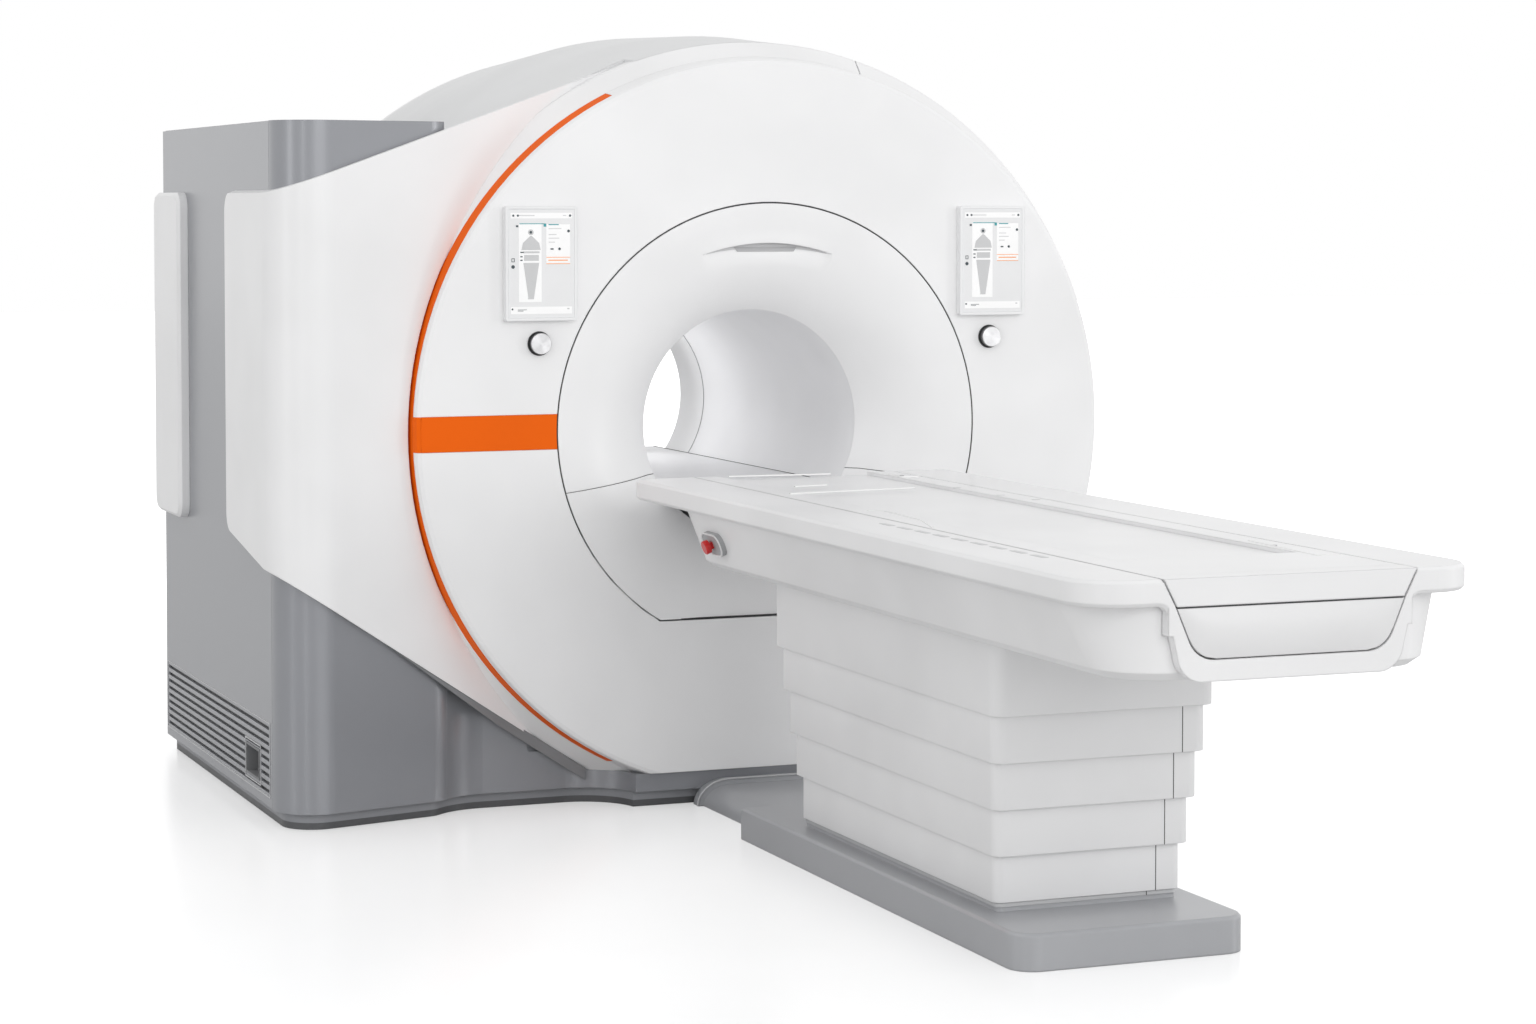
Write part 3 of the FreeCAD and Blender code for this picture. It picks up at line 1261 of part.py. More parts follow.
def table_frame():
    body = new_body("table_frame")
    half = "rim_half"
    section = [
        ("channel_half", "table_height"), (half, "table_height"), (half, "rim_low"),
        ("tray_half + 14", "rim_low"), ("tray_half + 14", "tray_low"),
        ("-(tray_half + 14)", "tray_low"), ("-(tray_half + 14)", "rim_low"),
        (f"-{half}", "rim_low"), (f"-{half}", "table_height"),
        ("-channel_half", "table_height"), ("-tray_half", "board_low"),
        ("-tray_half", "tray_top"), ("tray_half", "tray_top"), ("tray_half", "board_low")]
    extrude(body, "XZ", section, "table_near", "-table_gap")
    extrude(body, "XZ", collar_outline(), "panel_front", "panel_back")
    mouth = panel_outline("panel_gap")
    mouth[0] = ("-tray_half", "board_low")
    mouth[-1] = ("tray_half", "board_low")
    mouth += [("channel_half", "table_height"), ("channel_half", "table_height + 5"),
              ("-channel_half", "table_height + 5"), ("-channel_half", "table_height")]
    extrude(body, "XZ", mouth, "panel_front - 5", "panel_back", cut=True)
    near = "rim_corner * (1 - root_half)"
    corner = [
        (half, "table_near + rim_corner"),
        (f"{half} - {near}", f"table_near + {near}", f"{half} - rim_corner", "table_near"),
        (f"{half} - rim_corner", "table_near - 9"), (f"{half} + 9", "table_near - 9"),
        (f"{half} + 9", "table_near + rim_corner")]
    extrude(body, "XY", corner, "rim_low - 9", "table_height + 9", cut=True)
    extrude(body, "XY", mirrored(corner), "rim_low - 9", "table_height + 9", cut=True)
    bevel_rims(body)
    for side in ("-", ""):
        rail = rectangle(f"{side}(rail_place - rail_width / 2)", "tray_top - 1",
                         f"{side}(rail_place + rail_width / 2)", "rail_top")
        extrude(body, "XZ", rail, "panel_back + 10", "-(table_gap + 12)")
    for axle in ("far_axle", "near_axle"):
        for side in ("-", ""):
            post = rectangle(f"{side}(pulley_width / 2 + 2)", f"{axle} - 12",
                             f"{side}(pulley_width / 2 + 10)", f"{axle} + 12")
            extrude(body, "XY", post, "tray_top - 1", "axle_height + 11")
        extrude(body, "YZ", (axle, "axle_height", "4.05"), "-60", "60", cut=True)


def hull_plan(spread, inset="0"):
    """Plan of the hull, spread from its lower level and drawn in by a wall."""
    grow = f"({spread} - hull_step - {inset})"
    half = f"(hull_half_width + {grow})"
    return rounded(f"-{half}", f"hull_near + {inset}", half, f"hull_far + {grow}",
                   f"hull_corner + {grow}")


def table_hull():
    body = new_body("table_hull")
    level = "hull_bottom_height + hull_edge"
    ruled(body, hull_plan("0"), level, hull_plan("hull_step"), "rim_low")
    extrude(body, "XY", hull_plan("0", "edge_step"), "hull_bottom_height", level,
            taper="hull_edge_slope")
    ruled(body, hull_plan("0", "hull_wall"), level,
          hull_plan("hull_step", "hull_wall"), "rim_low", cut=True)
    channel = rectangle("-(tray_half + 14.3)", "tray_low - 0.3",
                        "tray_half + 14.3", "rim_low + 5")
    extrude(body, "XZ", channel, "table_near - 50", "-table_gap", cut=True)


def end_cover():
    body = new_body("end_cover")
    extrude(body, "XZ", panel_outline("0"), "panel_front", "panel_back")


def board_section():
    return [("-board_half", "table_height"), ("-foot_half", "board_low"),
            ("foot_half", "board_low"), ("board_half", "table_height")]


def tabletop():
    """Tabletop with its trough."""
    body = new_body("tabletop")
    extrude(body, "XZ", board_section(), "table_near + cap_length",
            "-(table_gap - board_lead)")
    trough = rectangle("-trough_width / 2", "table_near + trough_start",
                       "trough_width / 2", "-table_gap + 20")
    extrude(body, "XY", trough, "table_height - trough_depth",
            "table_height + 5", cut=True)


def tabletop_carriage():
    """Two runners on the rails, joined by the plate that clamps the belt."""
    body = new_body("tabletop_carriage")
    slot = "(rail_width / 2 + running_gap)"
    roof = "rail_top + running_gap"
    near = "table_near + cap_length + 3"
    edge = "(rail_width / 2 + runner_wall)"
    for side in ("-", ""):
        at = f"{side}rail_place"
        runner = [
            (f"{at} - {edge}", "board_low"), (f"{at} - {edge}", "rail_top - 6"),
            (f"{at} - {slot}", "rail_top - 6"), (f"{at} - {slot}", roof),
            (f"{at} + {slot}", roof), (f"{at} + {slot}", "rail_top - 6"),
            (f"{at} + {edge}", "rail_top - 6"), (f"{at} + {edge}", "board_low")]
        extrude(body, "XZ", runner, near, f"{near} + runner_length")
    plate = rectangle("-rail_place", "table_near + 200", "rail_place", "table_near + 240")
    extrude(body, "XY", plate, "axle_height + belt_outer + running_gap", "board_low")


def board_end_cap():
    body = new_body("board_end_cap")
    extrude(body, "XZ", board_section(), "table_near", "table_near + cap_length")


def drive_belt():
    body = new_body("drive_belt")

    def loop(radius):
        return [("near_axle", f"axle_height - {radius}"),
                ("far_axle", f"axle_height - {radius}"),
                (f"far_axle + {radius}", "axle_height", "far_axle", f"axle_height + {radius}"),
                ("near_axle", f"axle_height + {radius}")]

    def closed(radius):
        points = loop(f"({radius})")
        points[0] = (f"near_axle - ({radius})", "axle_height") + points[0]
        return points

    extrude(body, "YZ", [closed("belt_outer"), closed("belt_inner")],
            "-belt_width / 2", "belt_width / 2")


def pulley(name, axle, reach):
    """Belt pulley with its shaft."""
    body = new_body(name, "0", f"face + {axle}", "axle_height")
    extrude(body, "YZ", ("0", "0", "pulley_radius"), "-pulley_width / 2", "pulley_width / 2")
    extrude(body, "YZ", ("0", "0", "4"), "-(pulley_width / 2 + 10)", reach)


def drive_motor():
    body = new_body("drive_motor", "0", "face + far_axle", "axle_height")
    start = "(pulley_width / 2 + 28)"
    block = rectangle("-18", "tray_top - axle_height", "18", "18")
    extrude(body, "YZ", block, start, f"{start} + motor_length")
    extrude(body, "YZ", ("0", "0", "4.05"), f"{start} - 5", f"{start} + 25", cut=True)


# --------------------------------------------------------- emergency stops

def stop_body(name, side):
    """Body on a slanted hull side, its third axis pointing outwards."""
    body = new_body(name, f"{side}stop_x", "face - stop_place", "stop_height")
    lean = number("90 + hull_taper")
    axis = FreeCAD.Vector(0, -1 if side == "-" else 1, 0)
    body.Placement.Rotation = FreeCAD.Rotation(axis, lean)
    body.setExpression("Placement.Rotation.Angle", full("(90 + hull_taper) * 1 deg"))
    return body


def estop_bezel(name, side):
    body = stop_body(name, side)
    half = "stop_length / 2"
    wide = "stop_width / 2"
    extrude(body, "XY", rounded(f"-{wide}", f"-{half}", wide, half, "stop_width / 2 - 1"),
            "0", "12")
    hole = "(stop_stem / 2 + 0.1)"
    extrude(body, "XY", rectangle(f"-{hole}", f"-{hole}", hole, hole), "-1", "20", cut=True)


def estop_button(name, side):
    body = stop_body(name, side)
    half = "stop_stem / 2"
    extrude(body, "XY", rectangle(f"-{half}", f"-{half}", half, half), "6", "22")
    extrude(body, "XY", ("0", "0", "stop_cap / 2"), "21", "34")
    bevel_edges(body, lambda edge, p: abs(p.z - 34) < 0.01, "stop_edge")


# ------------------------------------------------------------------- build

front_cover()
accent_strip()
label_band()
funnel_upper()
funnel_lower()
hood_light()
bore_liner()
bore_bridge()
side_cover_left()
side_cover_right()
roof_cover()
side_shell("side_shell_left", "-")
side_shell("side_shell_right", "")
rear_cover()
rear_funnel()
lower_body()
plinth()
cabinet_housing()
cabinet_side_panel()
service_recess()
cabinet_side_cover()
equipment_rack()
cryostat_vessel()
cold_head()
coil("gradient_coil", "gradient_inner", "gradient_outer", "gradient_length")
coil("body_coil", "body_coil_inner", "body_coil_outer", "body_coil_length")
for side, hand in (("-", "left"), ("", "right")):
    display_housing(f"display_housing_{hand}", side)
    display_glass(f"display_glass_{hand}", side)
    knob(f"knob_{hand}", side)
    estop_bezel(f"estop_bezel_{hand}", side)
    estop_button(f"estop_button_{hand}", side)
floor_duct()
base_plate()
for number_of_part in range(1, 6):
    sleeve(number_of_part)
    lift_stage(number_of_part)
lift_motor()
table_frame()
table_hull()
end_cover()
tabletop()
tabletop_carriage()
board_end_cap()
drive_belt()
pulley("drive_pulley", "far_axle", "pulley_width / 2 + 48")
pulley("idler_pulley", "near_axle", "pulley_width / 2 + 10")
drive_motor()

doc.recompute()
failed = [item.Name for item in doc.Objects
          if "Invalid" in item.State or "Error" in item.State]
failed += [item.Label for item in sub_parts
           if item.Shape.isNull() or not item.Shape.isValid() or len(item.Shape.Solids) != 1]
if failed:
    raise RuntimeError(f"not built as one valid solid: {failed}")
os.makedirs("parts", exist_ok=True)
for item in sub_parts:
    item.Shape.exportStep(f"parts/{item.Label}.step")
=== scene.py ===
"""Looks of the scanner: materials, screens, gaskets, lamps, floor and camera.

Metres, in the frame of the CAD: +X right, +Y into the bore, +Z up.
"""

import json
import math

import bmesh
import bpy
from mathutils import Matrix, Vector

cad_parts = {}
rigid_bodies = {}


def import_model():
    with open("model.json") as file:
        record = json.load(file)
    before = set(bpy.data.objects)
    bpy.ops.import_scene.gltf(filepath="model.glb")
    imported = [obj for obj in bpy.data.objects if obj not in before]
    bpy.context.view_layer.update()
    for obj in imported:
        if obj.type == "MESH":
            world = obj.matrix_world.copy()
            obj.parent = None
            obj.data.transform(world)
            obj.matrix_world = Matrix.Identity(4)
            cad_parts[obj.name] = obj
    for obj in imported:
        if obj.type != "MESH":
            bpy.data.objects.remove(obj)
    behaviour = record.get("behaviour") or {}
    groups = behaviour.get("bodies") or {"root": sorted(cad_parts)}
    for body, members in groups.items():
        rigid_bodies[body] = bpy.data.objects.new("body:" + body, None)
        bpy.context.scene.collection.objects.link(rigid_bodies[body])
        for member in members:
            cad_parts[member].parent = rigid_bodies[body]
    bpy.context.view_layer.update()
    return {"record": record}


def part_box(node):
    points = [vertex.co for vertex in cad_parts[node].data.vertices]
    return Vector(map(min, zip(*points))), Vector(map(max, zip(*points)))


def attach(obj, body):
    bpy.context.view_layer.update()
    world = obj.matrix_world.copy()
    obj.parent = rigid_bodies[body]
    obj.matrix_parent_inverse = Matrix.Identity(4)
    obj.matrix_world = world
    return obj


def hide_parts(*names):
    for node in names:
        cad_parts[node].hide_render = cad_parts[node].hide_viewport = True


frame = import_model()

# The photograph's camera, found by fitting the object's edges. AXIS_ROW is the row
# of the picture that it looks straight at.
IMAGE_WIDTH, IMAGE_HEIGHT = 1536, 1024
FOCAL_PX = 3339.4
AXIS_ROW = 350
CAMERA_PLACE = (-3.2209, -8.8692, 1.5595)
CAMERA_YAW = math.radians(21.727)
CAMERA_DOWN = math.radians(2.5115)

# The faces of the front and rear covers, the height of the bore's axis and the
# direction into the bore.
FACE_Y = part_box("front_cover")[0][1]
REAR_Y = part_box("rear_cover")[1][1]
BORE_Z = 0.980
INTO_BORE = (0, 1, 0)


# ------------------------------------------------------------------ nodes

GRAIN_SCALE, GRAIN_BUMP, GRAIN_DEPTH = 900.0, 0.04, 0.0004
MOTTLE_SCALE, MOTTLE_SPREAD, ROUGHNESS_SPREAD = 3.0, 0.03, 0.12


def new_material(name):
    """Material with a Principled shader; returns it, its nodes and links."""
    material = bpy.data.materials.new(name)
    material.use_nodes = True
    nodes, links = material.node_tree.nodes, material.node_tree.links
    return material, nodes, links, nodes["Principled BSDF"]


def set_inputs(node, values):
    """Set a node's sockets by their names."""
    for name, value in values.items():
        node.inputs[name].default_value = value


def add_noise(nodes, links, scale, detail=4.0):
    """Noise in object coordinates, so that it stays with the piece."""
    place = nodes.new("ShaderNodeTexCoord")
    noise = nodes.new("ShaderNodeTexNoise")
    set_inputs(noise, {"Scale": scale, "Detail": detail})
    links.new(place.outputs["Object"], noise.inputs["Vector"])
    return noise.outputs["Fac"]


def ramp(nodes, links, value, low, high, start=0.3, end=0.7):
    """Colour ramp between two colours, as a value goes from start to end."""
    node = nodes.new("ShaderNodeValToRGB")
    for element, place, colour in zip(node.color_ramp.elements, (start, end), (low, high)):
        element.position = place
        element.color = (*colour, 1)
    links.new(value, node.inputs["Fac"])
    return node.outputs["Color"]


def map_range(nodes, links, value, low, high, start=0.0, end=1.0):
    """Map Range node that takes start and end to low and high; returns the node."""
    node = nodes.new("ShaderNodeMapRange")
    set_inputs(node, {"From Min": start, "From Max": end, "To Min": low, "To Max": high})
    links.new(value, node.inputs["Value"])
    return node


def combine(nodes, links, operation, *values):
    """Math node over one or two values."""
    node = nodes.new("ShaderNodeMath")
    node.operation = operation
    for value, socket in zip(values, node.inputs):
        links.new(value, socket)
    return node.outputs["Value"]


def add_bump(nodes, links, shader, value, strength, distance, bevel=0.0):
    """Bump on a shader, over softened edges where bevel is given."""
    bump = nodes.new("ShaderNodeBump")
    set_inputs(bump, {"Strength": strength, "Distance": distance})
    links.new(value, bump.inputs["Height"])
    if bevel:
        edge = nodes.new("ShaderNodeBevel")
        edge.samples = 4
        set_inputs(edge, {"Radius": bevel})
        links.new(edge.outputs["Normal"], bump.inputs["Normal"])
    links.new(bump.outputs["Normal"], shader.inputs["Normal"])


def painted(name, colour, roughness, coat=0.0, metallic=0.0, bevel=0.003, gloss=0.5):
    """Painted or moulded surface: slight mottling, fine grain, soft edges."""
    material, nodes, links, shader = new_material(name)
    mottle = add_noise(nodes, links, MOTTLE_SCALE, 2.0)
    low = [c * (1 - MOTTLE_SPREAD) for c in colour]
    high = [min(c * (1 + MOTTLE_SPREAD), 1.0) for c in colour]
    links.new(ramp(nodes, links, mottle, low, high), shader.inputs["Base Color"])
    fine = add_noise(nodes, links, GRAIN_SCALE)
    add_bump(nodes, links, shader, fine, GRAIN_BUMP, GRAIN_DEPTH, bevel)
    rough = map_range(nodes, links, mottle, roughness * (1 - ROUGHNESS_SPREAD),
                      roughness * (1 + ROUGHNESS_SPREAD))
    links.new(rough.outputs["Result"], shader.inputs["Roughness"])
    set_inputs(shader, {"Metallic": metallic, "Specular IOR Level": gloss,
                        "Coat Weight": coat, "Coat Roughness": 0.18})
    return material


def glow(name, colour, strength):
    """Softly lit surface for lamps and screens."""
    material, nodes, links, shader = new_material(name)
    mottle = add_noise(nodes, links, 12.0)
    low = [c * (1 - MOTTLE_SPREAD) for c in colour]
    links.new(ramp(nodes, links, mottle, low, colour), shader.inputs["Base Color"])
    set_inputs(shader, {"Emission Color": (*colour, 1), "Emission Strength": strength,
                        "Roughness": 0.4})
    return material


def glass(name):
    """Cover glass of the displays: pale, glossy and a little smeared."""
    material, nodes, links, shader = new_material(name)
    smear = add_noise(nodes, links, 8.0)
    rough = map_range(nodes, links, smear, 0.06, 0.14)
    links.new(rough.outputs["Result"], shader.inputs["Roughness"])
    links.new(ramp(nodes, links, smear, (0.86, 0.87, 0.88), (0.9, 0.91, 0.92)),
              shader.inputs["Base Color"])
    set_inputs(shader, {"Coat Weight": 0.5})
    return material


def plinth_paint(name, upper, lower, height, blur=0.001):
    """Paint of the body down to a height, and below it a dark band of painted shade at the
    foot.
    """
    material, nodes, links, shader = new_material(name)
    place = nodes.new("ShaderNodeTexCoord")
    split = nodes.new("ShaderNodeSeparateXYZ")
    links.new(place.outputs["Object"], split.inputs["Vector"])
    level = map_range(nodes, links, split.outputs["Z"], 0.0, 1.0, height - blur, height + blur)
    links.new(ramp(nodes, links, level.outputs["Result"], lower, upper, 0.0, 1.0),
              shader.inputs["Base Color"])
    fine = add_noise(nodes, links, GRAIN_SCALE)
    add_bump(nodes, links, shader, fine, GRAIN_BUMP, GRAIN_DEPTH, 0.003)
    set_inputs(shader, {"Roughness": 0.4})
    return material


def brushed_knob(name):
    """Turned silver face with fine rings, and its side painted dark grey as painted shade."""
    material, nodes, links, shader = new_material(name)
    place = nodes.new("ShaderNodeTexCoord")
    centre = nodes.new("ShaderNodeVectorMath")
    centre.operation = "SUBTRACT"
    centre.inputs[1].default_value = (0.5, 0.5, 0.5)
    links.new(place.outputs["Generated"], centre.inputs[0])
    rings = nodes.new("ShaderNodeTexWave")
    rings.wave_type = "RINGS"
    rings.rings_direction = "Y"
    set_inputs(rings, {"Scale": 14, "Distortion": 0.6})
    links.new(centre.outputs["Vector"], rings.inputs["Vector"])
    normal = nodes.new("ShaderNodeSeparateXYZ")
    links.new(place.outputs["Normal"], normal.inputs["Vector"])
    # Painted shade: the knob's side, whose normal points across, takes the dark grey; its face
    # takes the silver.
    facing = combine(nodes, links, "ABSOLUTE", normal.outputs["Y"])
    links.new(ramp(nodes, links, facing, (0.20, 0.20, 0.205), (0.66, 0.66, 0.67), 0.35, 0.85),
              shader.inputs["Base Color"])
    add_bump(nodes, links, shader, rings.outputs["Fac"], 0.35, 0.0006)
    set_inputs(shader, {"Metallic": 0.85, "Roughness": 0.3})
    return material


# --------------------------------------------------------------- materials

COVER = (0.86, 0.86, 0.865)
# Top of the dark band at the body's foot, which is painted shade.
FOOT_SHADE_HEIGHT = 0.017
MATERIALS = {
    "cover_white": painted("cover", COVER, 0.38, coat=0.15),
    "funnel_white": painted("funnel", COVER, 0.36, coat=0.15),
    "bore_white": painted("bore", (0.88, 0.88, 0.89), 0.42),
    "roof_grey": painted("roof", (0.72, 0.725, 0.73), 0.45),
    "body_grey": painted("body", (0.285, 0.292, 0.313), 0.30, coat=0.3, metallic=0.25),
    # Body paint whose foot is darkened as painted shade.
    "plinth_dark": plinth_paint("plinth", (0.29, 0.297, 0.317), (0.10, 0.102, 0.107),
                                FOOT_SHADE_HEIGHT),
    "accent_orange": painted("accent", (0.86, 0.125, 0.0), 0.6, gloss=0.15),
    "display_frame": painted("display_frame", (0.84, 0.843, 0.85), 0.4),
    "display_glass": glass("display_glass"),
    "knob_metal": brushed_knob("knob"),
    "table_white": painted("table", (0.83, 0.83, 0.835), 0.36, coat=0.15, bevel=0.005),
    # The end cover's white, darker than the table's, as painted shade on the table's near end.
    "end_white": painted("end", (0.76, 0.76, 0.765), 0.34, coat=0.2),
    "sleeve_white": painted("sleeve", (0.83, 0.83, 0.835), 0.42),
    "base_grey": painted("base", (0.40, 0.407, 0.425), 0.34, coat=0.25, metallic=0.1,
                         bevel=0.006),
    "stop_red": painted("stop_red", (0.62, 0.006, 0.006), 0.32, coat=0.3),
    "stop_bezel": painted("stop_bezel", (0.40, 0.405, 0.415), 0.45),
    "vessel_steel": painted("vessel", (0.6, 0.61, 0.63), 0.35, metallic=0.9),
    "coil_resin": painted("coil", (0.35, 0.28, 0.16), 0.5),
    "lift_steel": painted("lift", (0.5, 0.51, 0.53), 0.35, metallic=0.9),
    "motor_metal": painted("motor", (0.13, 0.135, 0.14), 0.5, metallic=0.3),
    "belt_rubber": painted("belt", (0.03, 0.03, 0.03), 0.7),
    "recess_grey": painted("recess", (0.20, 0.203, 0.21), 0.5),
    "trim": painted("trim", (0.50, 0.505, 0.515), 0.35, coat=0.2),
    # Near black for the plate behind the louvre slots: painted shade of the cabinet's inside.
    "slot_back": painted("slot_back", (0.11, 0.112, 0.117), 0.6),
    # White a little above the table's: painted highlight along the tabletop's ribs.
    "rib_white": painted("rib", (0.90, 0.90, 0.90), 0.3, coat=0.3),
    "seal": painted("seal", (0.045, 0.046, 0.048), 0.65),
    # Dark grey for the wing's return flange: painted shade under the white wing.
    "flange": painted("flange", (0.23, 0.235, 0.245), 0.5),
    # Mid grey for the tabletop's marks, and for the painted shade under the hood's edge.
    "faint": painted("faint", (0.62, 0.62, 0.63), 0.45),
    # Faint glow of the hood's lamp, in a mid grey that is painted shade under the hood.
    "lamp": glow("lamp", (0.47, 0.47, 0.48), 0.02),
    "screen": glow("screen", (0.76, 0.762, 0.768), 0.08),
    "paper": glow("paper", (0.90, 0.90, 0.90), 0.10),
    "figure": glow("figure", (0.58, 0.583, 0.59), 0.04),
    "ink": glow("ink", (0.05, 0.07, 0.08), 0.02),
    "teal": glow("teal", (0.05, 0.33, 0.36), 0.05),
    "amber": glow("amber", (0.90, 0.33, 0.10), 0.05),
}
GASKET = MATERIALS["seal"]


def dress_nodes():
    """Give every CAD node the material of its slot."""
    for part in frame["record"]["subparts"]:
        mesh = bpy.data.objects[part["node"]].data
        for index in range(len(mesh.materials)):
            mesh.materials[index] = MATERIALS[part["material_slot"]]


# ------------------------------------------------------------ mesh pieces

def mesh_piece(name, points, faces, material, body, crease=35):
    """Smooth-shaded piece with creases over an angle, riding on a body."""
    mesh = bpy.data.meshes.new(name)
    mesh.from_pydata([tuple(p) for p in points], [], faces)
    work = bmesh.new()
    work.from_mesh(mesh)
    bmesh.ops.remove_doubles(work, verts=work.verts, dist=1e-6)
    bmesh.ops.recalc_face_normals(work, faces=work.faces)
    work.to_mesh(mesh)
    work.free()
    mesh.shade_smooth()
    mesh.set_sharp_from_angle(angle=math.radians(crease))
    mesh.materials.append(material)
    piece = bpy.data.objects.new(name, mesh)
    bpy.context.collection.objects.link(piece)
    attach(piece, body)
    return piece


def rect(x0, x1, z0, z1):
    """Corners of a rectangle, counter-clockwise."""
    return [(x0, z0), (x1, z0), (x1, z1), (x0, z1)]


def disc(x, z, radius, sides=20):
    """Points round a circle, counter-clockwise."""
    turn = 2 * math.pi / sides
    return [(x + radius * math.cos(turn * i), z + radius * math.sin(turn * i))
            for i in range(sides)]


def bead(half, top_half, foot, height):
    """Section of a bead whose sides slope from its foot to its flat top."""
    return [(-half, foot), (-top_half, height), (top_half, height), (half, foot)]


def grid(count, lines):
    """Quads between lines of points that are stored one after another."""
    return [(j * count + i, j * count + i + 1, (j + 1) * count + i + 1, (j + 1) * count + i)
            for j in range(lines - 1) for i in range(count - 1)]


def loft(rings, around=False):
    """Points and faces of a form through rings of as many points each.

    Its ends are closed by a face each, or joined to each other where it runs around.
    """
    count, points = len(rings[0]), [point for ring in rings for point in ring]
    faces = []
    for j in range(len(rings) if around else len(rings) - 1):
        a, b = j * count, (j + 1) % len(rings) * count
        faces += [(a + i, a + (i + 1) % count, b + (i + 1) % count, b + i)
                  for i in range(count)]
    if not around:
        faces += [tuple(range(count)), tuple(range(len(points) - count, len(points)))]
    return points, faces


def joined(forms):
    """Points and faces of several forms as one."""
    points, faces = [], []
    for new_points, new_faces in forms:
        faces += [tuple(i + len(points) for i in face) for face in new_faces]
        points += new_points
    return points, faces


def swept(name, path, section, material, body, closed=False, up=(0, 0, 1)):
    """Piece whose section (across, up) is swept along a path of points."""
    up = Vector(up)
    path = [Vector(p) for p in path]
    rings = []
    for i, at in enumerate(path):
        before = path[i - 1] if i or closed else at
        after = path[(i + 1) % len(path)] if i + 1 < len(path) or closed else at
        across = (after - before).normalized().cross(up).normalized()
        rings.append([at + across * a + up * b for a, b in section])
    return mesh_piece(name, *loft(rings, closed), material, body)


def boxes(name, corners, material, body):
    """One piece made of boxes, each given by two opposite corners."""
    forms = [loft([[(x, y, z) for x, y in rect(low[0], high[0], low[1], high[1])]
                   for z in (low[2], high[2])]) for low, high in corners]
    return mesh_piece(name, *joined(forms), material, body)


def front_of(node, x, z, start=-1.5):
    """Where a line into the bore first meets a node, or None where it misses."""
    hit, place, _, _ = bpy.data.objects[node].ray_cast(Vector((x, start, z)),
                                                       Vector(INTO_BORE))
    return place.y if hit else None


# ----------------------------------------------------------- front funnel

# The funnel's front is an arc from the joint line to the bore. Its wall at the
# bore, the depth of its back behind its front, and how far its end goes on.
BORE, FUNNEL_RIM, FUNNEL_DEPTH = 0.300, 0.580, 0.141
FUNNEL_ARC = ((FUNNEL_RIM - BORE) ** 2 + FUNNEL_DEPTH ** 2) / (2 * FUNNEL_DEPTH)
FUNNEL_WALL, FUNNEL_BACK, FUNNEL_END = 0.006, 0.024, 0.004
# Its flange lies behind the cover's wall, and its lower edge is cut flat at a
# height under the bore's axis.
FLANGE_OUT, FLANGE_THICK, COVER_WALL, FUNNEL_FLAT = 0.018, 0.014, 0.008, -0.494
# The seal round the funnel: the radius of its middle, and its depth in the gap.
SEAL_RADIUS, SEAL_DEPTH = FUNNEL_RIM + 0.002, 0.004
# The joint between the halves: its height at both ends, and half its gap.
JOINT_OUTER, JOINT_INNER, JOINT_GAP = -0.161, -0.127, 0.0008
# Hood over the bore: half its width, and the height and radius of its edge.
HOOD_HALF, HOOD_APEX, HOOD_ARC = 0.182, 0.477, 0.550
# How far its lip stands out and the hollow under it goes in, and over what
# distance from the edge they and the edge's own shift fade away.
HOOD_LIP, LIP_WIDTH = 0.005, 0.02
HOOD_HOLLOW, HOOD_FADE, HOOD_FALL, HOOD_REACH = 0.024, 0.055, 1.6, 0.12
# Rows of points outside and inside the hood's edge. The inner ones lie closer
# together near the edge.
OUTER_ROWS, INNER_ROWS, ROW_CROWDING = 14, 26, 1.25
UPPER_COLUMNS, LOWER_COLUMNS = 240, 160
# Lit strip under the hood: half its length, how much shorter its lower edge is,
# and its section as (drop below the hood's apex, reach to the front).
STRIP_HALF, STRIP_TAPER, STRIP_CLEAR = 0.088, 0.10, 0.0004
STRIP_SECTION = ((0.010, 0.0), (0.012, 0.0015), (0.021, 0.0015), (0.023, 0.0))
# Painted shade right under the hood's edge, a thin grey sheet: half its angle, what its
# width gains towards the middle and is at its ends, and its distances from the edge
# and the funnel.
SHADE_ANGLE, SHADE_GAIN, SHADE_END = 0.36, 0.012, 0.0008
SHADE_INSET, SHADE_CLEAR = 0.0006, 0.0008


def round_bore(radius, angle, y):
    """Point at a radius and an angle round the bore's axis."""
    return (radius * math.cos(angle), y, BORE_Z + radius * math.sin(angle))


def joint_angle(radius, gap):
    """Angle at which the joint between the halves crosses a radius."""
    low, high = JOINT_OUTER + gap, JOINT_INNER + gap
    start, end = Vector((SEAL_RADIUS, low)), Vector((BORE, high))
    if radius <= end.length:
        return math.asin(high / radius)
    if radius >= start.length:
        return math.asin(low / radius)
    run = end - start
    a, b, c = run.length_squared, 2 * start.dot(run), start.length_squared - radius ** 2
    place = start + run * ((-b - math.sqrt(b * b - 4 * a * c)) / (2 * a))
    return math.atan2(place.y, place.x)


def funnel_depth(radius):
    """Depth of the funnel's plain arc behind the face."""
    rise = FUNNEL_RIM - radius
    return FUNNEL_ARC - math.sqrt(FUNNEL_ARC ** 2 - rise * rise)


def hood_edge(angle):
    """Radius of the hood's edge in a direction, and the share of its full form."""
    middle = HOOD_APEX - HOOD_ARC
    edge = middle * math.sin(angle) + math.sqrt(
        HOOD_ARC ** 2 - (middle * math.cos(angle)) ** 2)
    across = edge * math.cos(angle) / HOOD_HALF
    strength = max(0.0, 1 - across * across) ** 0.5 if math.sin(angle) > 0 else 0.0
    return edge, strength


def hollow_depth(radius, edge, strength):
    """Depth of the funnel's front inside the hood's edge."""
    fade = max(0.0, 1 - (edge - radius) / HOOD_FADE)
    return funnel_depth(radius) + HOOD_HOLLOW * strength * fade ** HOOD_FALL


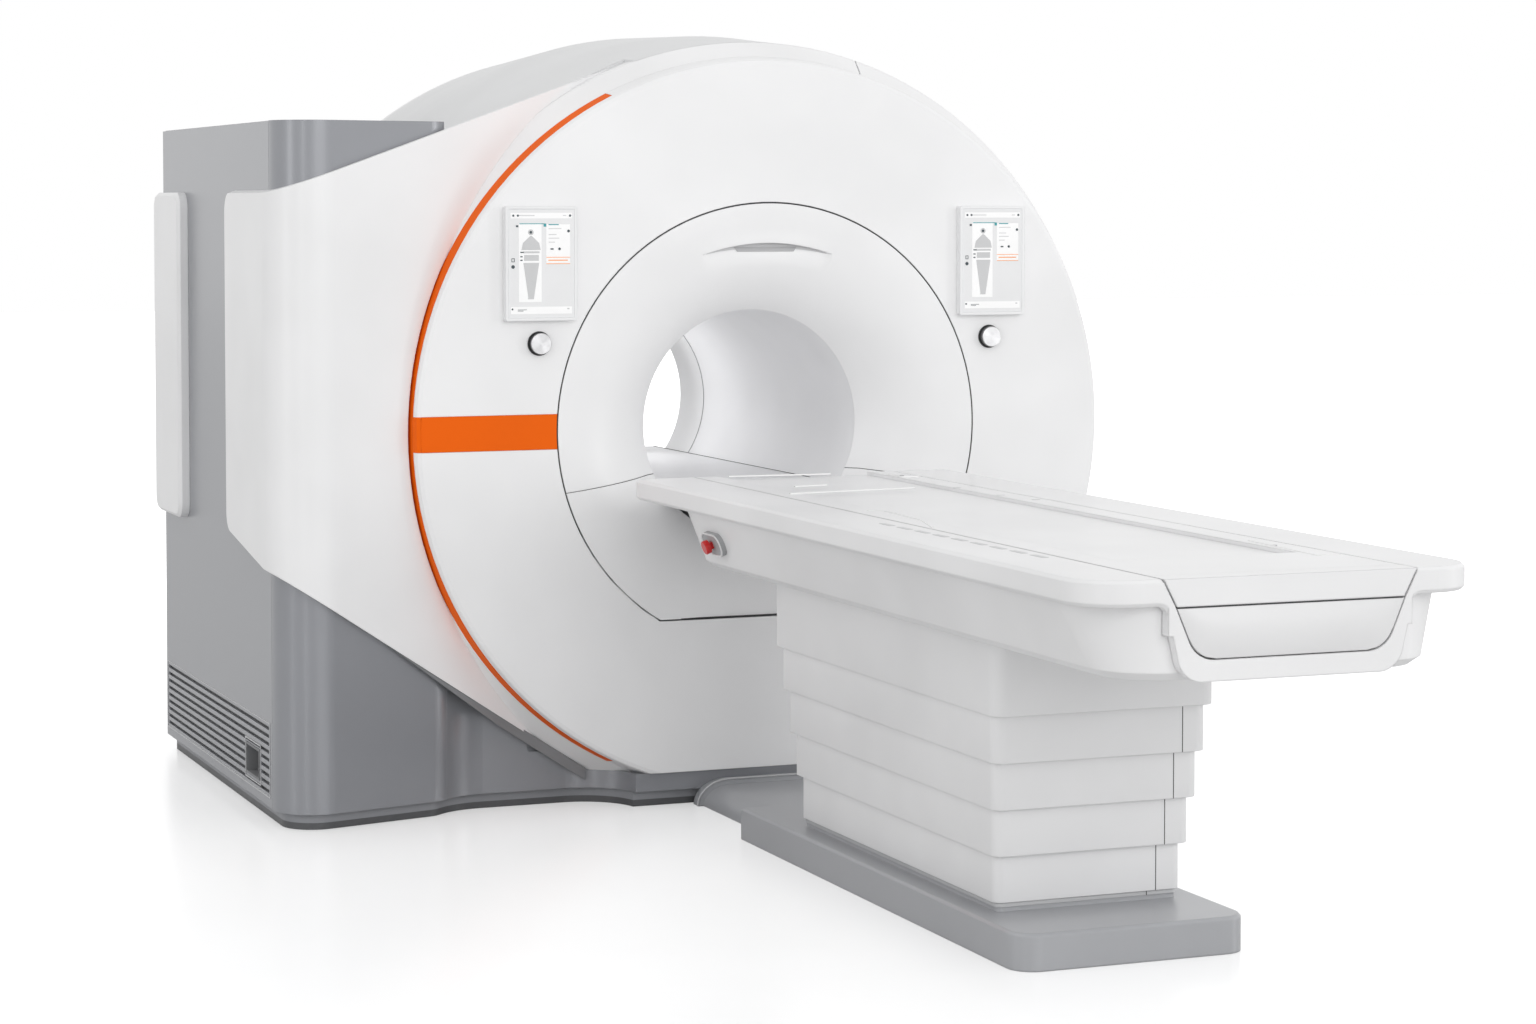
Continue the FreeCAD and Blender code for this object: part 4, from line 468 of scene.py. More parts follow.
def front_rows(angle):
    """Radius and depth of the funnel's front, from the joint line to the bore."""
    edge, strength = hood_edge(angle)
    rows = []
    for i in range(OUTER_ROWS + 1):
        share = i / OUTER_ROWS
        radius = FUNNEL_RIM + (HOOD_APEX - FUNNEL_RIM) * share
        moved = radius + (edge - HOOD_APEX) * share
        lip = HOOD_LIP * strength * math.exp(-((moved - edge) / LIP_WIDTH) ** 2)
        rows.append((moved, funnel_depth(moved) - lip))
    for i in range(INNER_ROWS + 1):
        radius = HOOD_APEX + (BORE - HOOD_APEX) * (i / INNER_ROWS) ** ROW_CROWDING
        share = max(0.0, 1 - (HOOD_APEX - radius) / HOOD_REACH)
        moved = radius + (edge - HOOD_APEX) * share
        rows.append((moved, hollow_depth(moved, edge, strength)))
    return rows


def back_rows(count=7):
    """Radius and depth of the funnel's back, from the bore to its flange's edge."""
    inner, outer = BORE + FUNNEL_WALL, FUNNEL_RIM - FUNNEL_WALL
    rows = [(BORE, FUNNEL_DEPTH + FUNNEL_END), (inner, FUNNEL_DEPTH + FUNNEL_END)]
    for i in range(count):
        radius = inner + (outer - inner) * i / (count - 1)
        rows.append((radius, funnel_depth(radius) + FUNNEL_BACK))
    flange = FUNNEL_RIM + FLANGE_OUT
    return rows + [(flange, COVER_WALL + FLANGE_THICK), (flange, COVER_WALL),
                   (FUNNEL_RIM, COVER_WALL)]


def funnel_half(name, node, start, end, columns):
    """Closed wall of one half between two angles, which depend on the radius."""
    back, middle_radius = back_rows(), (FUNNEL_RIM + BORE) / 2
    first, last = start(middle_radius), end(middle_radius)
    rings = []
    for j in range(columns):
        share = j / (columns - 1)
        rings.append([
            round_bore(radius, start(radius) + (end(radius) - start(radius)) * share,
                       FACE_Y + depth)
            for radius, depth in front_rows(first + (last - first) * share) + back])
    piece = mesh_piece(name, *loft(rings), MATERIALS["funnel_white"], "base", 28)
    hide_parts(node)
    return piece


def cut_below(piece, height):
    """Cut off what lies below a height, and leave the cut open."""
    work = bmesh.new()
    work.from_mesh(piece.data)
    bmesh.ops.bisect_plane(
        work, geom=work.verts[:] + work.edges[:] + work.faces[:],
        plane_co=(0, 0, height), plane_no=(0, 0, -1), clear_outer=True)
    work.to_mesh(piece.data)
    work.free()


def front_funnel():
    """Upper and lower half of the funnel, the lower one with its flat lower edge."""
    funnel_half("funnel_top_skin", "funnel_upper",
                lambda r: joint_angle(r, JOINT_GAP),
                lambda r: math.pi - joint_angle(r, JOINT_GAP), UPPER_COLUMNS)
    lower = funnel_half("funnel_low_skin", "funnel_lower",
                        lambda r: math.pi - joint_angle(r, -JOINT_GAP),
                        lambda r: 2 * math.pi + joint_angle(r, -JOINT_GAP), LOWER_COLUMNS)
    cut_below(lower, BORE_Z + FUNNEL_FLAT)


def hood_strip(columns=31):
    """Strip in the hollow under the hood's edge: the faint glow of its lamp, in a mid grey that
    is painted shade under the hood.
    """
    top, bottom = STRIP_SECTION[0][0], STRIP_SECTION[-1][0]
    points = []
    for j in range(columns):
        across = STRIP_HALF * (2 * j / (columns - 1) - 1)
        for drop, reach in STRIP_SECTION:
            x = across * (1 - STRIP_TAPER * (drop - top) / (bottom - top))
            rise = HOOD_APEX - drop
            depth = hollow_depth(math.hypot(x, rise), *hood_edge(math.atan2(rise, x)))
            points.append((x, FACE_Y + depth - reach - STRIP_CLEAR, BORE_Z + rise))
    piece = mesh_piece("hood_strip", points, grid(len(STRIP_SECTION), columns),
                       MATERIALS["lamp"], "base")
    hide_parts("hood_light")


def hood_shade(columns=61):
    """Thin grey sheet right under the hood's edge as painted shade, widest in the middle."""
    points = []
    for j in range(columns):
        angle = math.pi / 2 - SHADE_ANGLE * (2 * j / (columns - 1) - 1)
        edge, strength = hood_edge(angle)
        for inset in (SHADE_INSET, SHADE_END + SHADE_GAIN * strength ** 2):
            depth = hollow_depth(edge - inset, edge, strength) - SHADE_CLEAR
            points.append(round_bore(edge - inset, angle, FACE_Y + depth))
    mesh_piece("hood_slot", points, grid(2, columns), MATERIALS["faint"], "base")


# ----------------------------------------------------------- joint gaskets

def funnel_gasket(steps=160):
    """Dark seal in the gap round the funnel, with its flat lower edge."""
    low = math.asin(FUNNEL_FLAT / SEAL_RADIUS)
    path = [round_bore(SEAL_RADIUS, low + (math.pi - 2 * low) * i / steps,
                       FACE_Y + SEAL_DEPTH) for i in range(steps + 1)]
    swept("funnel_seal", path, bead(0.0019, 0.0012, 0.0, -0.0028), GASKET, "base",
          closed=True, up=INTO_BORE)


def split_gasket(steps=24):
    """Dark seal between the funnel's halves, left and right."""
    inset, sunk = 0.001, 0.0016
    for side, name in ((1, "right"), (-1, "left")):
        path = []
        for i in range(steps + 1):
            radius = FUNNEL_RIM - inset - (FUNNEL_RIM - BORE - 2 * inset) * i / steps
            x, y, z = round_bore(radius, joint_angle(radius, 0.0),
                                 FACE_Y + funnel_depth(radius) + sunk)
            path.append((side * x, y, z))
        swept("split_seal_" + name, path, rect(-0.0009, 0.0009, -0.0012, 0.003), GASKET,
              "base", up=INTO_BORE)


# ---------------------------------------------------------------- displays

def text_rows(x, width, heights, thick):
    """Rows that stand for text, of unequal length."""
    shares = (1.0, 0.62, 0.84, 0.5, 0.73)
    return [rect(x, x + width * shares[i % 5], z - thick / 2, z + thick / 2)
            for i, z in enumerate(heights)]


# What the screens show, in millimetres about their middle: bars, a figure for the
# patient's position, a card with readings and an orange note between two lines.
SCREEN_LAYERS = (
    ("screen", [rect(-84.5, 84.5, -134.5, 134.5)]),
    ("paper", [rect(-81, 81, 114, 128), rect(-81, 81, -127, -109),
               rect(-59.5, 0.4, -97, 102), rect(13, 76, 0, 99)]),
    ("figure", [disc(-28, 79, 7.5),
                [(-29.5, 70), (-25.5, 70), (-6, 52), (-2, 34), (-53, 34), (-49, 52)],
                rect(-48, -5, 26, 31), rect(-46, -7, 7, 22),
                [(-48, 2), (-6, 2), (-20, -87), (-35, -87)],
                rect(-36, -20, -90, -87)]
     + text_rows(19, 34, (88, 73, 64, 54), 1.8)
     + text_rows(-60, 42, (121,), 2.0) + [rect(57, 66, 120, 122), rect(68, 74, -116, -113)]),
    ("teal", [rect(-58, 8, 99.5, 101.5), rect(6, 13, 93, 101), rect(19, 46, 97, 99.5)]),
    ("ink", [disc(-74, 121, 2.8), disc(-62, 121, 2.8), disc(76, 121, 3.0), disc(72, 82, 3.6),
             disc(48, 37, 3.4), rect(24, 32, 35, 38.5), disc(-28, 79, 3.6),
             rect(-56, -47, 27, 30), rect(-56, -50, 16, 19), rect(-56, -50, 7, 10),
             rect(-67, -61, 92, 97), rect(-79, -71, 4, 5.4), rect(-79, -71, 12, 13.4),
             rect(-79, -77.6, 4, 13.4), rect(-72.4, -71, 4, 13.4), disc(-75, -8, 4.6),
             disc(-77, -115, 2.4)]
     + text_rows(-63, 24, (-116.5, -119.5), 1.2)),
    ("amber", [rect(13, 76, 15, 16.4), rect(13, 76, -1, 0.4), rect(18, 70, 7, 9.4)]),
)
# How far each layer stands before the last one, and how deep all go into the glass.
LAYER_STEP, LAYER_SINK = 0.00015, 0.0003


def screens():
    """Plain user interface on the glass of both displays."""
    for side in ("left", "right"):
        low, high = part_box("display_glass_" + side)
        middle_x, middle_z = (low[0] + high[0]) / 2, (low[2] + high[2]) / 2
        for level, (key, outlines) in enumerate(SCREEN_LAYERS):
            depths = (low[1] - LAYER_STEP * (level + 1), low[1] + LAYER_SINK)
            forms = [loft([[(middle_x + x / 1000, y, middle_z + z / 1000)
                            for x, z in outline] for y in depths]) for outline in outlines]
            piece = mesh_piece("screen_%s_%s" % (key, side), *joined(forms),
                               MATERIALS[key], "base")


def knob_rims():
    """Dark seal on the cover round each knob."""
    clear = 0.0022
    section = [(-0.0018, 0.001), (-0.0018, -0.0022), (0.0, -0.003),
               (0.0022, -0.0014), (0.0022, 0.001)]
    for side in ("left", "right"):
        low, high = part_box("knob_" + side)
        ring = disc((low[0] + high[0]) / 2, (low[2] + high[2]) / 2,
                    (high[0] - low[0]) / 2 + clear, 64)
        swept("knob_rim_" + side, [(x, FACE_Y, z) for x, z in ring], section, GASKET,
              "base", closed=True, up=INTO_BORE)


# ---------------------------------------------------------- bore and deck

def bore_details():
    """Joint ring far inside the bore, and the seals beside the deck."""
    proud, inset = 0.0008, 0.004
    liner_low, liner_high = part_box("bore_liner")
    path = [(x, liner_high[1] - inset, z) for x, z in disc(0, BORE_Z, BORE - proud, 120)]
    swept("bore_seal", path, rect(-proud, proud, -0.001, 0.001), MATERIALS["trim"],
          "base", closed=True, up=INTO_BORE)
    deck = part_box("bore_bridge")[1]
    near, far = liner_low[1] + 0.005, deck[1] - 0.002
    boxes("deck_seals", [((side * (deck[0] - 0.0015), near, deck[2] - 0.001),
                          (side * (deck[0] + 0.0008), far, deck[2] + 0.0012))
                         for side in (-1, 1)], GASKET, "base")


def band_end(columns=14, rows=13):
    """End of the band, carried round the cover's edge to the accent strip."""
    overlap, proud, sunk, half = 0.0004, 0.0018, 0.0008, 0.0010
    low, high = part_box("label_band")
    reach, strip_face = -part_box("front_cover")[0][0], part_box("accent_strip")[0][1]
    rings = []
    for j in range(rows):
        z = low[2] + (high[2] - low[2]) * j / (rows - 1)
        edge = -math.sqrt(reach ** 2 - (z - BORE_Z) ** 2)
        start, end = low[0] + overlap, edge + 0.0005
        across = [start + (end - start) * i / (columns - 1) for i in range(columns)]
        skin = [(x, front_of("front_cover", x, z)) for x in across]
        side = [skin[-1][1] + 0.001, strip_face - 0.0002]
        rings.append([(x, y - proud, z) for x, y in skin]
                     + [(edge - half, y, z) for y in side]
                     + [(edge + half, y, z) for y in reversed(side)]
                     + [(x, y + sunk, z) for x, y in reversed(skin)])
    mesh_piece("band_end", *loft(rings), MATERIALS["accent_orange"], "base", 50)


# ---------------------------------------------------------------- tabletop

TOP_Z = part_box("tabletop")[1][2]
# How deep the pieces on the tabletop start in it, so that no gap shows.
TOP_SINK = 0.0004
# Low moulded ribs on the tabletop: their paths (x, y), half their width and height.
RIBS = (
    ("rib_head", ((-0.190, -0.990), (0.082, -1.012)), 0.005, 0.0032),
    ("rib_middle", ((-0.234, -1.514), (0.110, -1.472)), 0.005, 0.0032),
    ("rib_slot", ((-0.147, -1.330), (-0.056, -1.314)), 0.006, 0.0032),
    ("rib_left", ((-0.230, -1.967), (-0.196, -2.012), (-0.211, -2.222), (-0.262, -2.396)),
     0.003, 0.0015),
    ("rib_corner", ((0.214, -1.164), (0.262, -1.164)), 0.003, 0.0032),
    ("rib_corner_side", ((0.214, -1.077), (0.214, -1.164)), 0.003, 0.0032),
    ("rib_near", ((0.230, -2.880), (0.210, -3.181), (0.262, -3.184)), 0.003, 0.0015),
)
# Index marks in a slanted row beside the board, and marks on the board's right.
INDEX_START, INDEX_STEP, INDEX_SIZE = (-0.322, -2.290), (0.002, -0.088), (0.014, 0.056)
INDEX_COUNT = 9
SIDE_PLACES, SIDE_SIZE = ((0.213, -1.496), (0.222, -1.723), (0.246, -1.863)), (0.018, 0.010)
# Round pins on the board, as (x, y, radius).
PINS = ((0.236, -1.115, 0.006), (0.230, -2.984, 0.005))
# Grooves at both sides of the board: where they lie and how far they run.
GROOVE_X, GROOVE_NEAR, GROOVE_FAR = 0.274, -3.375, -0.985


def marks(name, places, size, body):
    """Flat marks standing 0.6 mm proud of the tabletop."""
    proud = 0.0006
    boxes(name, [((x - size[0] / 2, y - size[1] / 2, TOP_Z - TOP_SINK),
                  (x + size[0] / 2, y + size[1] / 2, TOP_Z + proud))
                 for x, y in places], MATERIALS["faint"], body)


def table_marks():
    """Ribs, marks, groove seals and pins on the tabletop and beside its board."""
    for name, path, half, height in RIBS:
        # The ribs are real ridges; their whiter paint is painted highlight along them.
        swept(name, [(x, y, TOP_Z) for x, y in path],
              bead(half, half * 0.55, -TOP_SINK, height), MATERIALS["rib_white"], "board")
    marks("index_marks", [(INDEX_START[0] + INDEX_STEP[0] * i,
                           INDEX_START[1] + INDEX_STEP[1] * i) for i in range(INDEX_COUNT)],
          INDEX_SIZE, "table")
    for name, x, key in (("left", -GROOVE_X, "trim"), ("right", GROOVE_X, "seal")):
        boxes("groove_seal_" + name,
              [((x - 0.0013, GROOVE_NEAR, TOP_Z - 0.006),
                (x + 0.0016, GROOVE_FAR, TOP_Z - 0.0006))], MATERIALS[key], "table")
    marks("side_marks", SIDE_PLACES, SIDE_SIZE, "board")
    forms = [loft([[(px, py, TOP_Z + height) for px, py in disc(x, y, radius)]
                   for height in (-TOP_SINK, 0.0012)]) for x, y, radius in PINS]
    mesh_piece("pin_marks", *joined(forms), MATERIALS["stop_bezel"], "board")


def near_end_seal():
    """Dark seal in the gap between the board's end cap and the end cover."""
    low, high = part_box("end_cover")
    inset, clear, height = 0.003, 0.0002, 0.0025
    boxes("end_seal", [((low[0] + inset, low[1] - 0.0004, high[2] + clear),
                        (high[0] - inset, low[1] + 0.004, high[2] + clear + height))],
          GASKET, "table")


# The end cover: the crown of its face, the radius of its lower corners and the
# inset of their centres, and how far each side leans in down to where it ends,
# END_STRAIGHT above its foot.
END_CROWN, END_CORNER, END_INSET, END_LEAN, END_STRAIGHT = 0.009, 0.060, 0.082, 0.0245, 0.040


def end_half_width(z, low, high):
    """Half the width of the end cover at a height, from the cover's box."""
    straight = low[2] + END_STRAIGHT
    if z >= straight:
        return high[0] - END_LEAN * (high[2] - z) / (high[2] - straight)
    drop = low[2] + END_CORNER - z
    return high[0] - END_INSET + math.sqrt(max(END_CORNER ** 2 - drop ** 2, 0))


def end_cover_skin(rows=25, columns=41):
    """End cover with a softly crowned face inside the CAD cover's outline."""
    low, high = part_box("end_cover")
    middle, points = (low[2] + high[2]) / 2, []
    for i in range(rows):
        z = low[2] + (high[2] - low[2]) * i / (rows - 1)
        rise = 1 - ((z - middle) / (high[2] - middle)) ** 2
        half = end_half_width(z, low, high)
        for j in range(columns):
            share = 2 * j / (columns - 1) - 1
            crown = END_CROWN * rise * (1 - abs(share) ** 7)
            points.append((half * share, low[1] - crown, z))
    rim = (list(range(columns))
           + [i * columns + columns - 1 for i in range(1, rows)]
           + [(rows - 1) * columns + j for j in range(columns - 2, -1, -1)]
           + [i * columns for i in range(rows - 2, 0, -1)])
    first, count = len(points), len(rim)
    points += [(points[k][0], high[1], points[k][2]) for k in rim]
    faces = grid(columns, rows)
    faces += [(rim[i], rim[(i + 1) % count], first + (i + 1) % count, first + i)
              for i in range(count)]
    faces.append(tuple(range(first, first + count)))
    # Its darker white is painted shade on the near end.
    piece = mesh_piece("end_cover_skin", points, faces, MATERIALS["end_white"], "table")
    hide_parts("end_cover")


# The stops' places on the hull's leaning side, and the light rims round them: half
# their straight lengths, and the radius of their ends.
HULL_LEAN = math.atan2(0.048, 0.128)
STOP_X, STOP_Z, STOP_OUT = 0.3725, 0.744, 0.0121
STOP_ALONG, STOP_UP, STOP_ROUND = 0.032, 0.001, 0.0255


def rounded(low, high, radius, steps):
    """Rounded rectangle between two corners, counter-clockwise."""
    points = []
    for x, y, start in ((high[0] - radius, low[1] + radius, -0.5),
                        (high[0] - radius, high[1] - radius, 0),
                        (low[0] + radius, high[1] - radius, 0.5),
                        (low[0] + radius, low[1] + radius, 1.0)):
        points += [(x + radius * math.cos(math.pi * (start + i / (2 * steps))),
                    y + radius * math.sin(math.pi * (start + i / (2 * steps))))
                   for i in range(steps + 1)]
    return points


def stop_rims():
    """Light rim round each emergency stop's bezel, in the plane of the hull side."""
    reach, height = STOP_ALONG + STOP_ROUND, STOP_UP + STOP_ROUND
    outline = rounded((-reach, -height), (reach, height), STOP_ROUND, 8)
    for side, name in ((-1, "left"), (1, "right")):
        out = Vector((side * math.cos(HULL_LEAN), 0, -math.sin(HULL_LEAN)))
        up = Vector((side * math.sin(HULL_LEAN), 0, math.cos(HULL_LEAN)))
        low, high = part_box("estop_bezel_" + name)
        middle = Vector((side * STOP_X, (low[1] + high[1]) / 2, STOP_Z)) + out * STOP_OUT
        path = [middle + Vector((0, along, 0)) + up * rise for along, rise in outline]
        swept("stop_rim_" + name, path, bead(0.0024, 0.0014, -0.0005, 0.0022),
              MATERIALS["display_frame"], "table", closed=True, up=out)


# ---------------------------------------------------------------- pedestal

BASE_TOP = 0.088
SLEEVE_RISE, SLEEVE_LIP, SLEEVE_WALL, SLEEVE_CLEAR = 0.101, 0.010, 0.004, 0.001
SLEEVE_STEP_X, SLEEVE_STEP_Y = 0.010, 0.020
SLEEVE_CORNER, SLEEVE_CORNER_STEP, SLEEVE_CORNER_LEAST = 0.034, 0.003, 0.004
# The sleeves' softened lower edge, as (inset, rise), and the place and half width
# of their seams.
SLEEVE_EDGE = ((0.0016, 0.0), (0.0005, 0.0005), (0.0, 0.0016))
SEAM_PLACE, SEAM_HALF = 0.062, 0.0009
# The sleeves' bodies, from the outer sleeve at the top to the inner one at the foot.
SLEEVE_BODIES = ("table", "lift_high", "lift_middle", "lift_low", "base")
# The ring round the foot: its corner, the insets of its side, edge and back, and
# the height of its sloping edge.
FOOT_CORNER, FOOT_SIDE, FOOT_EDGE, FOOT_BACK, FOOT_SLOPE = 0.020, 0.0062, 0.0072, 0.0095, 0.002


def plan_ring(half, near, far, radius, height, steps=10):
    """Rounded rectangle in plan, at a height."""
    return [(x, y, height) for x, y in rounded((-half, near), (half, far), radius, steps)]


def sleeve_plan(index):
    """Half width, near end and far end of a sleeve, with 0 for the outer one."""
    low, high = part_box("sleeve_1")
    return (high[0] - index * SLEEVE_STEP_X, low[1] + index * SLEEVE_STEP_Y,
            high[1] - index * SLEEVE_STEP_Y)


def sleeve_profile(index, low, high):
    """Section of a sleeve's wall as (inward across, inward along, height).

    All but the outer sleeve have a lip that stands out at the top, and all but the
    inner one a lip that stands in at the foot, so that they catch each other.
    """
    lip_x, lip_y = SLEEVE_STEP_X - SLEEVE_CLEAR, SLEEVE_STEP_Y - SLEEVE_CLEAR
    rim_x, rim_y = SLEEVE_WALL - lip_x, SLEEVE_WALL - lip_y
    profile = [(inset, inset, low + rise) for inset, rise in SLEEVE_EDGE]
    if index > 0:
        ledge = high - SLEEVE_LIP
        profile += [(0, 0, ledge), (rim_x, rim_y, ledge), (rim_x, rim_y, high)]
    else:
        profile += [(0, 0, high)]
    profile += [(SLEEVE_WALL, SLEEVE_WALL, high)]
    if index + 1 < len(SLEEVE_BODIES):
        return profile + [(SLEEVE_WALL, SLEEVE_WALL, low + SLEEVE_LIP),
                          (lip_x, lip_y, low + SLEEVE_LIP), (lip_x, lip_y, low)]
    return profile + [(SLEEVE_WALL, SLEEVE_WALL, low)]


def sleeve_skins():
    """Sleeves with softly rounded corners and edges, catching lips and a seam."""
    for index, body in enumerate(SLEEVE_BODIES):
        node = "sleeve_%d" % (index + 1)
        low, high = (corner[2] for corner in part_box(node))
        half, near, far = sleeve_plan(index)
        corner = SLEEVE_CORNER - index * SLEEVE_CORNER_STEP
        rings = [plan_ring(half - a, near + b, far - b, max(corner - a, SLEEVE_CORNER_LEAST), z)
                 for a, b, z in sleeve_profile(index, low, high)]
        piece = mesh_piece("sleeve_skin_%d" % (index + 1), *loft(rings, around=True),
                           MATERIALS["sleeve_white"], body, 40)
        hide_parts(node)
        if index > 0:
            place = half - SEAM_PLACE
            boxes("sleeve_seam_%d" % (index + 1),
                  [((place - SEAM_HALF, near - 0.0003, low + 0.0006),
                    (place + SEAM_HALF, near + 0.001, low + SLEEVE_RISE - 0.002))],
                  GASKET, body)


def foot_ring():
    """Trim round the pedestal's foot, with the tick of its joint."""
    half, near, far = sleeve_plan(len(SLEEVE_BODIES) - 1)
    top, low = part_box("base_plate")[1][2] - 0.0005, BASE_TOP - 0.0004
    rings = [plan_ring(half - inset, near + inset, far - inset, FOOT_CORNER - inset, z)
             for inset, z in ((FOOT_SIDE, low), (FOOT_SIDE, top - FOOT_SLOPE),
                              (FOOT_EDGE, top), (FOOT_BACK, top), (FOOT_BACK, low))]
    mesh_piece("foot_ring", *loft(rings, around=True), MATERIALS["trim"], "base")
    place = half - SEAM_PLACE * 1.3
    boxes("foot_tick", [((place - SEAM_HALF, near + FOOT_SIDE - 0.0004, low + 0.0005),
                         (place + SEAM_HALF, near + FOOT_SIDE + 0.0008, top - 0.001))],
          GASKET, "base")


# The floor duct: half its flat top, the width and height of its shoulders, its
# collar's length, how much wider and higher the collar is, and its rim's radius.
DUCT_FLAT, DUCT_SHOULDER, DUCT_HEIGHT = 0.125, 0.070, 0.052
COLLAR_LENGTH, COLLAR_OUT, COLLAR_UP = 0.038, 0.014, 0.014 * 0.86
DUCT_RIM = 0.003


def duct_section(y, wider=0.0, higher=0.0, steps=12):
    """Outline of the duct, with an elliptic shoulder at each side."""
    shoulder = [(DUCT_FLAT + (DUCT_SHOULDER + wider) * math.cos(math.pi / 2 * i / steps),
                 (DUCT_HEIGHT + higher) * math.sin(math.pi / 2 * i / steps))
                for i in range(steps + 1)]
    return [(x, y, z) for x, z in shoulder] + [(-x, y, z) for x, z in reversed(shoulder)]


def duct_skin():
    """Floor duct with rounded shoulders, its collar and the light rim on it."""
    low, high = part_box("floor_duct")
    start = high[1] - COLLAR_LENGTH
    rings = [duct_section(low[1]), duct_section(start),
             duct_section(start, COLLAR_OUT, COLLAR_UP),
             duct_section(high[1], COLLAR_OUT, COLLAR_UP)]
    piece = mesh_piece("duct_skin", *loft(rings), MATERIALS["base_grey"], "base", 30)
    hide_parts("floor_duct")
    path = [(x, y - 0.001, max(z, 0.001)) for x, y, z in rings[2]]
    swept("duct_rim", path, disc(-DUCT_RIM, 0, DUCT_RIM, 8), MATERIALS["trim"], "base",
          up=INTO_BORE)


# ----------------------------------------------------------------- cabinet

# The louvres: their margins to the panel's ends, and their lowest and highest place.
LOUVRE_NEAR, LOUVRE_FAR, LOUVRE_LOW, LOUVRE_HIGH = 0.020, 0.012, 0.066, 0.257
# The plate behind them, a dark sheet of painted shade seen through the slots: its
# thickness, and its gaps to the panel and the recess.
PLATE_WALL, PLATE_GAP, PLATE_CLEAR = 0.002, 0.0004, 0.0006
RIDGE_HEIGHT, RECESS_MARGIN = 0.0014, 0.010


def outline_ridge(name, low_y, high_y, low_z, high_z, x, half=0.002):
    """Raised line round a rectangle on the cabinet's side."""
    rings = [[(x - out, y, z) for y, z in rect(low_y - grow, high_y + grow,
                                               low_z - grow, high_z + grow)]
             for grow, out in bead(half, half * 0.5, 0.0, RIDGE_HEIGHT)]
    mesh_piece(name, *loft(rings, around=True), MATERIALS["trim"], "base")


def louvre_parts():
    """Dark plate behind the louvre slots, painted shade of the cabinet's inside, and the frames
    of louvre and recess.
    """
    low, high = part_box("cabinet_side_panel")
    recess_low, recess_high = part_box("service_recess")
    side, front = low[0], high[0] + PLATE_GAP
    near, far = low[1] + LOUVRE_NEAR, high[1] - LOUVRE_FAR
    hole_near, hole_far = recess_low[1] - PLATE_CLEAR, recess_high[1] + PLATE_CLEAR
    hole_low, hole_high = recess_low[2] - PLATE_CLEAR, recess_high[2] + PLATE_CLEAR
    boxes("louvre_back",
          [((front, y0, z0), (front + PLATE_WALL, y1, z1))
           for y0, y1, z0, z1 in ((near, hole_near, LOUVRE_LOW, LOUVRE_HIGH),
                                  (hole_far, far, LOUVRE_LOW, LOUVRE_HIGH),
                                  (hole_near, hole_far, LOUVRE_LOW, hole_low),
                                  (hole_near, hole_far, hole_high, LOUVRE_HIGH))],
          MATERIALS["slot_back"], "base")
    outline_ridge("louvre_frame", near + 0.004, far - 0.002, LOUVRE_LOW,
                  LOUVRE_HIGH - 0.003, side)
    outline_ridge("recess_frame", recess_low[1] - RECESS_MARGIN,
                  recess_high[1] + RECESS_MARGIN, recess_low[2] - RECESS_MARGIN,
                  recess_high[2] + RECESS_MARGIN, side, 0.0025)


# The wing's lower edge in the plane of x and z, from its first to its last point,
# and the stretch of it that has the flange, in steps along it.
WING_EDGE, WING_STEPS, FLANGE_STEPS = ((-1.159, 0.543), (-0.470, 0.088)), 60, range(12, 61)
# The flange: the most that it shows below the edge, and how that grows forward from
# a least share.
FLANGE_SHOW, FLANGE_START, FLANGE_GROWTH, FLANGE_LEAST = 0.026, 0.2, 2.2, 0.05
# Its wall, how far it goes up behind the wing and how far it lies behind its front.
FLANGE_WALL, FLANGE_UP, FLANGE_BEHIND = 0.003, 0.006, 0.004


def wing_flange(probe=0.012, reach=5):
    """Return flange that shows below the wing's lower edge, widening forward; its dark grey is
    painted shade under the white wing.

    The wing's front is probed a little above its edge, and smoothed over a reach.
    """
    (start_x, start_z), (end_x, end_z) = WING_EDGE
    strips = []
    for i in FLANGE_STEPS:
        share = i / WING_STEPS
        x = start_x + (end_x - start_x) * share
        z = start_z + (end_z - start_z) * share
        front = front_of("side_cover_left", x, z + probe)
        if front is not None:
            growth = max(FLANGE_LEAST, (share - FLANGE_START) * FLANGE_GROWTH)
            strips.append((x, front + FLANGE_BEHIND, z + FLANGE_UP,
                           z - FLANGE_SHOW * min(1.0, growth)))
    rings = []
    for i, (x, _, high, low) in enumerate(strips):
        near = [strip[1] for strip in strips[max(0, i - reach):i + reach + 1]]
        y = sum(near) / len(near)
        rings.append([(x, y, high), (x, y, low), (x, y + FLANGE_WALL, low),
                      (x, y + FLANGE_WALL, high)])
    # Painted shade: the flange is dark grey, not the wing's white.
    mesh_piece("wing_flange", *loft(rings), MATERIALS["flange"], "base", 50)


# ------------------------------------------------------------------ studio

FLOOR_SIZE, FLOOR_PLACE = 80, (0, -0.8, -0.0005)
# The floor's lift to white for the camera: its share near the object, and where
# it starts and ends to grow, measured from the floor's middle.
FLOOR_LIFT, FLOOR_NEAR, FLOOR_FAR = 0.42, 2.4, 5.2
WHITE, WORLD_SOFT = (1, 1, 1, 1), 0.83


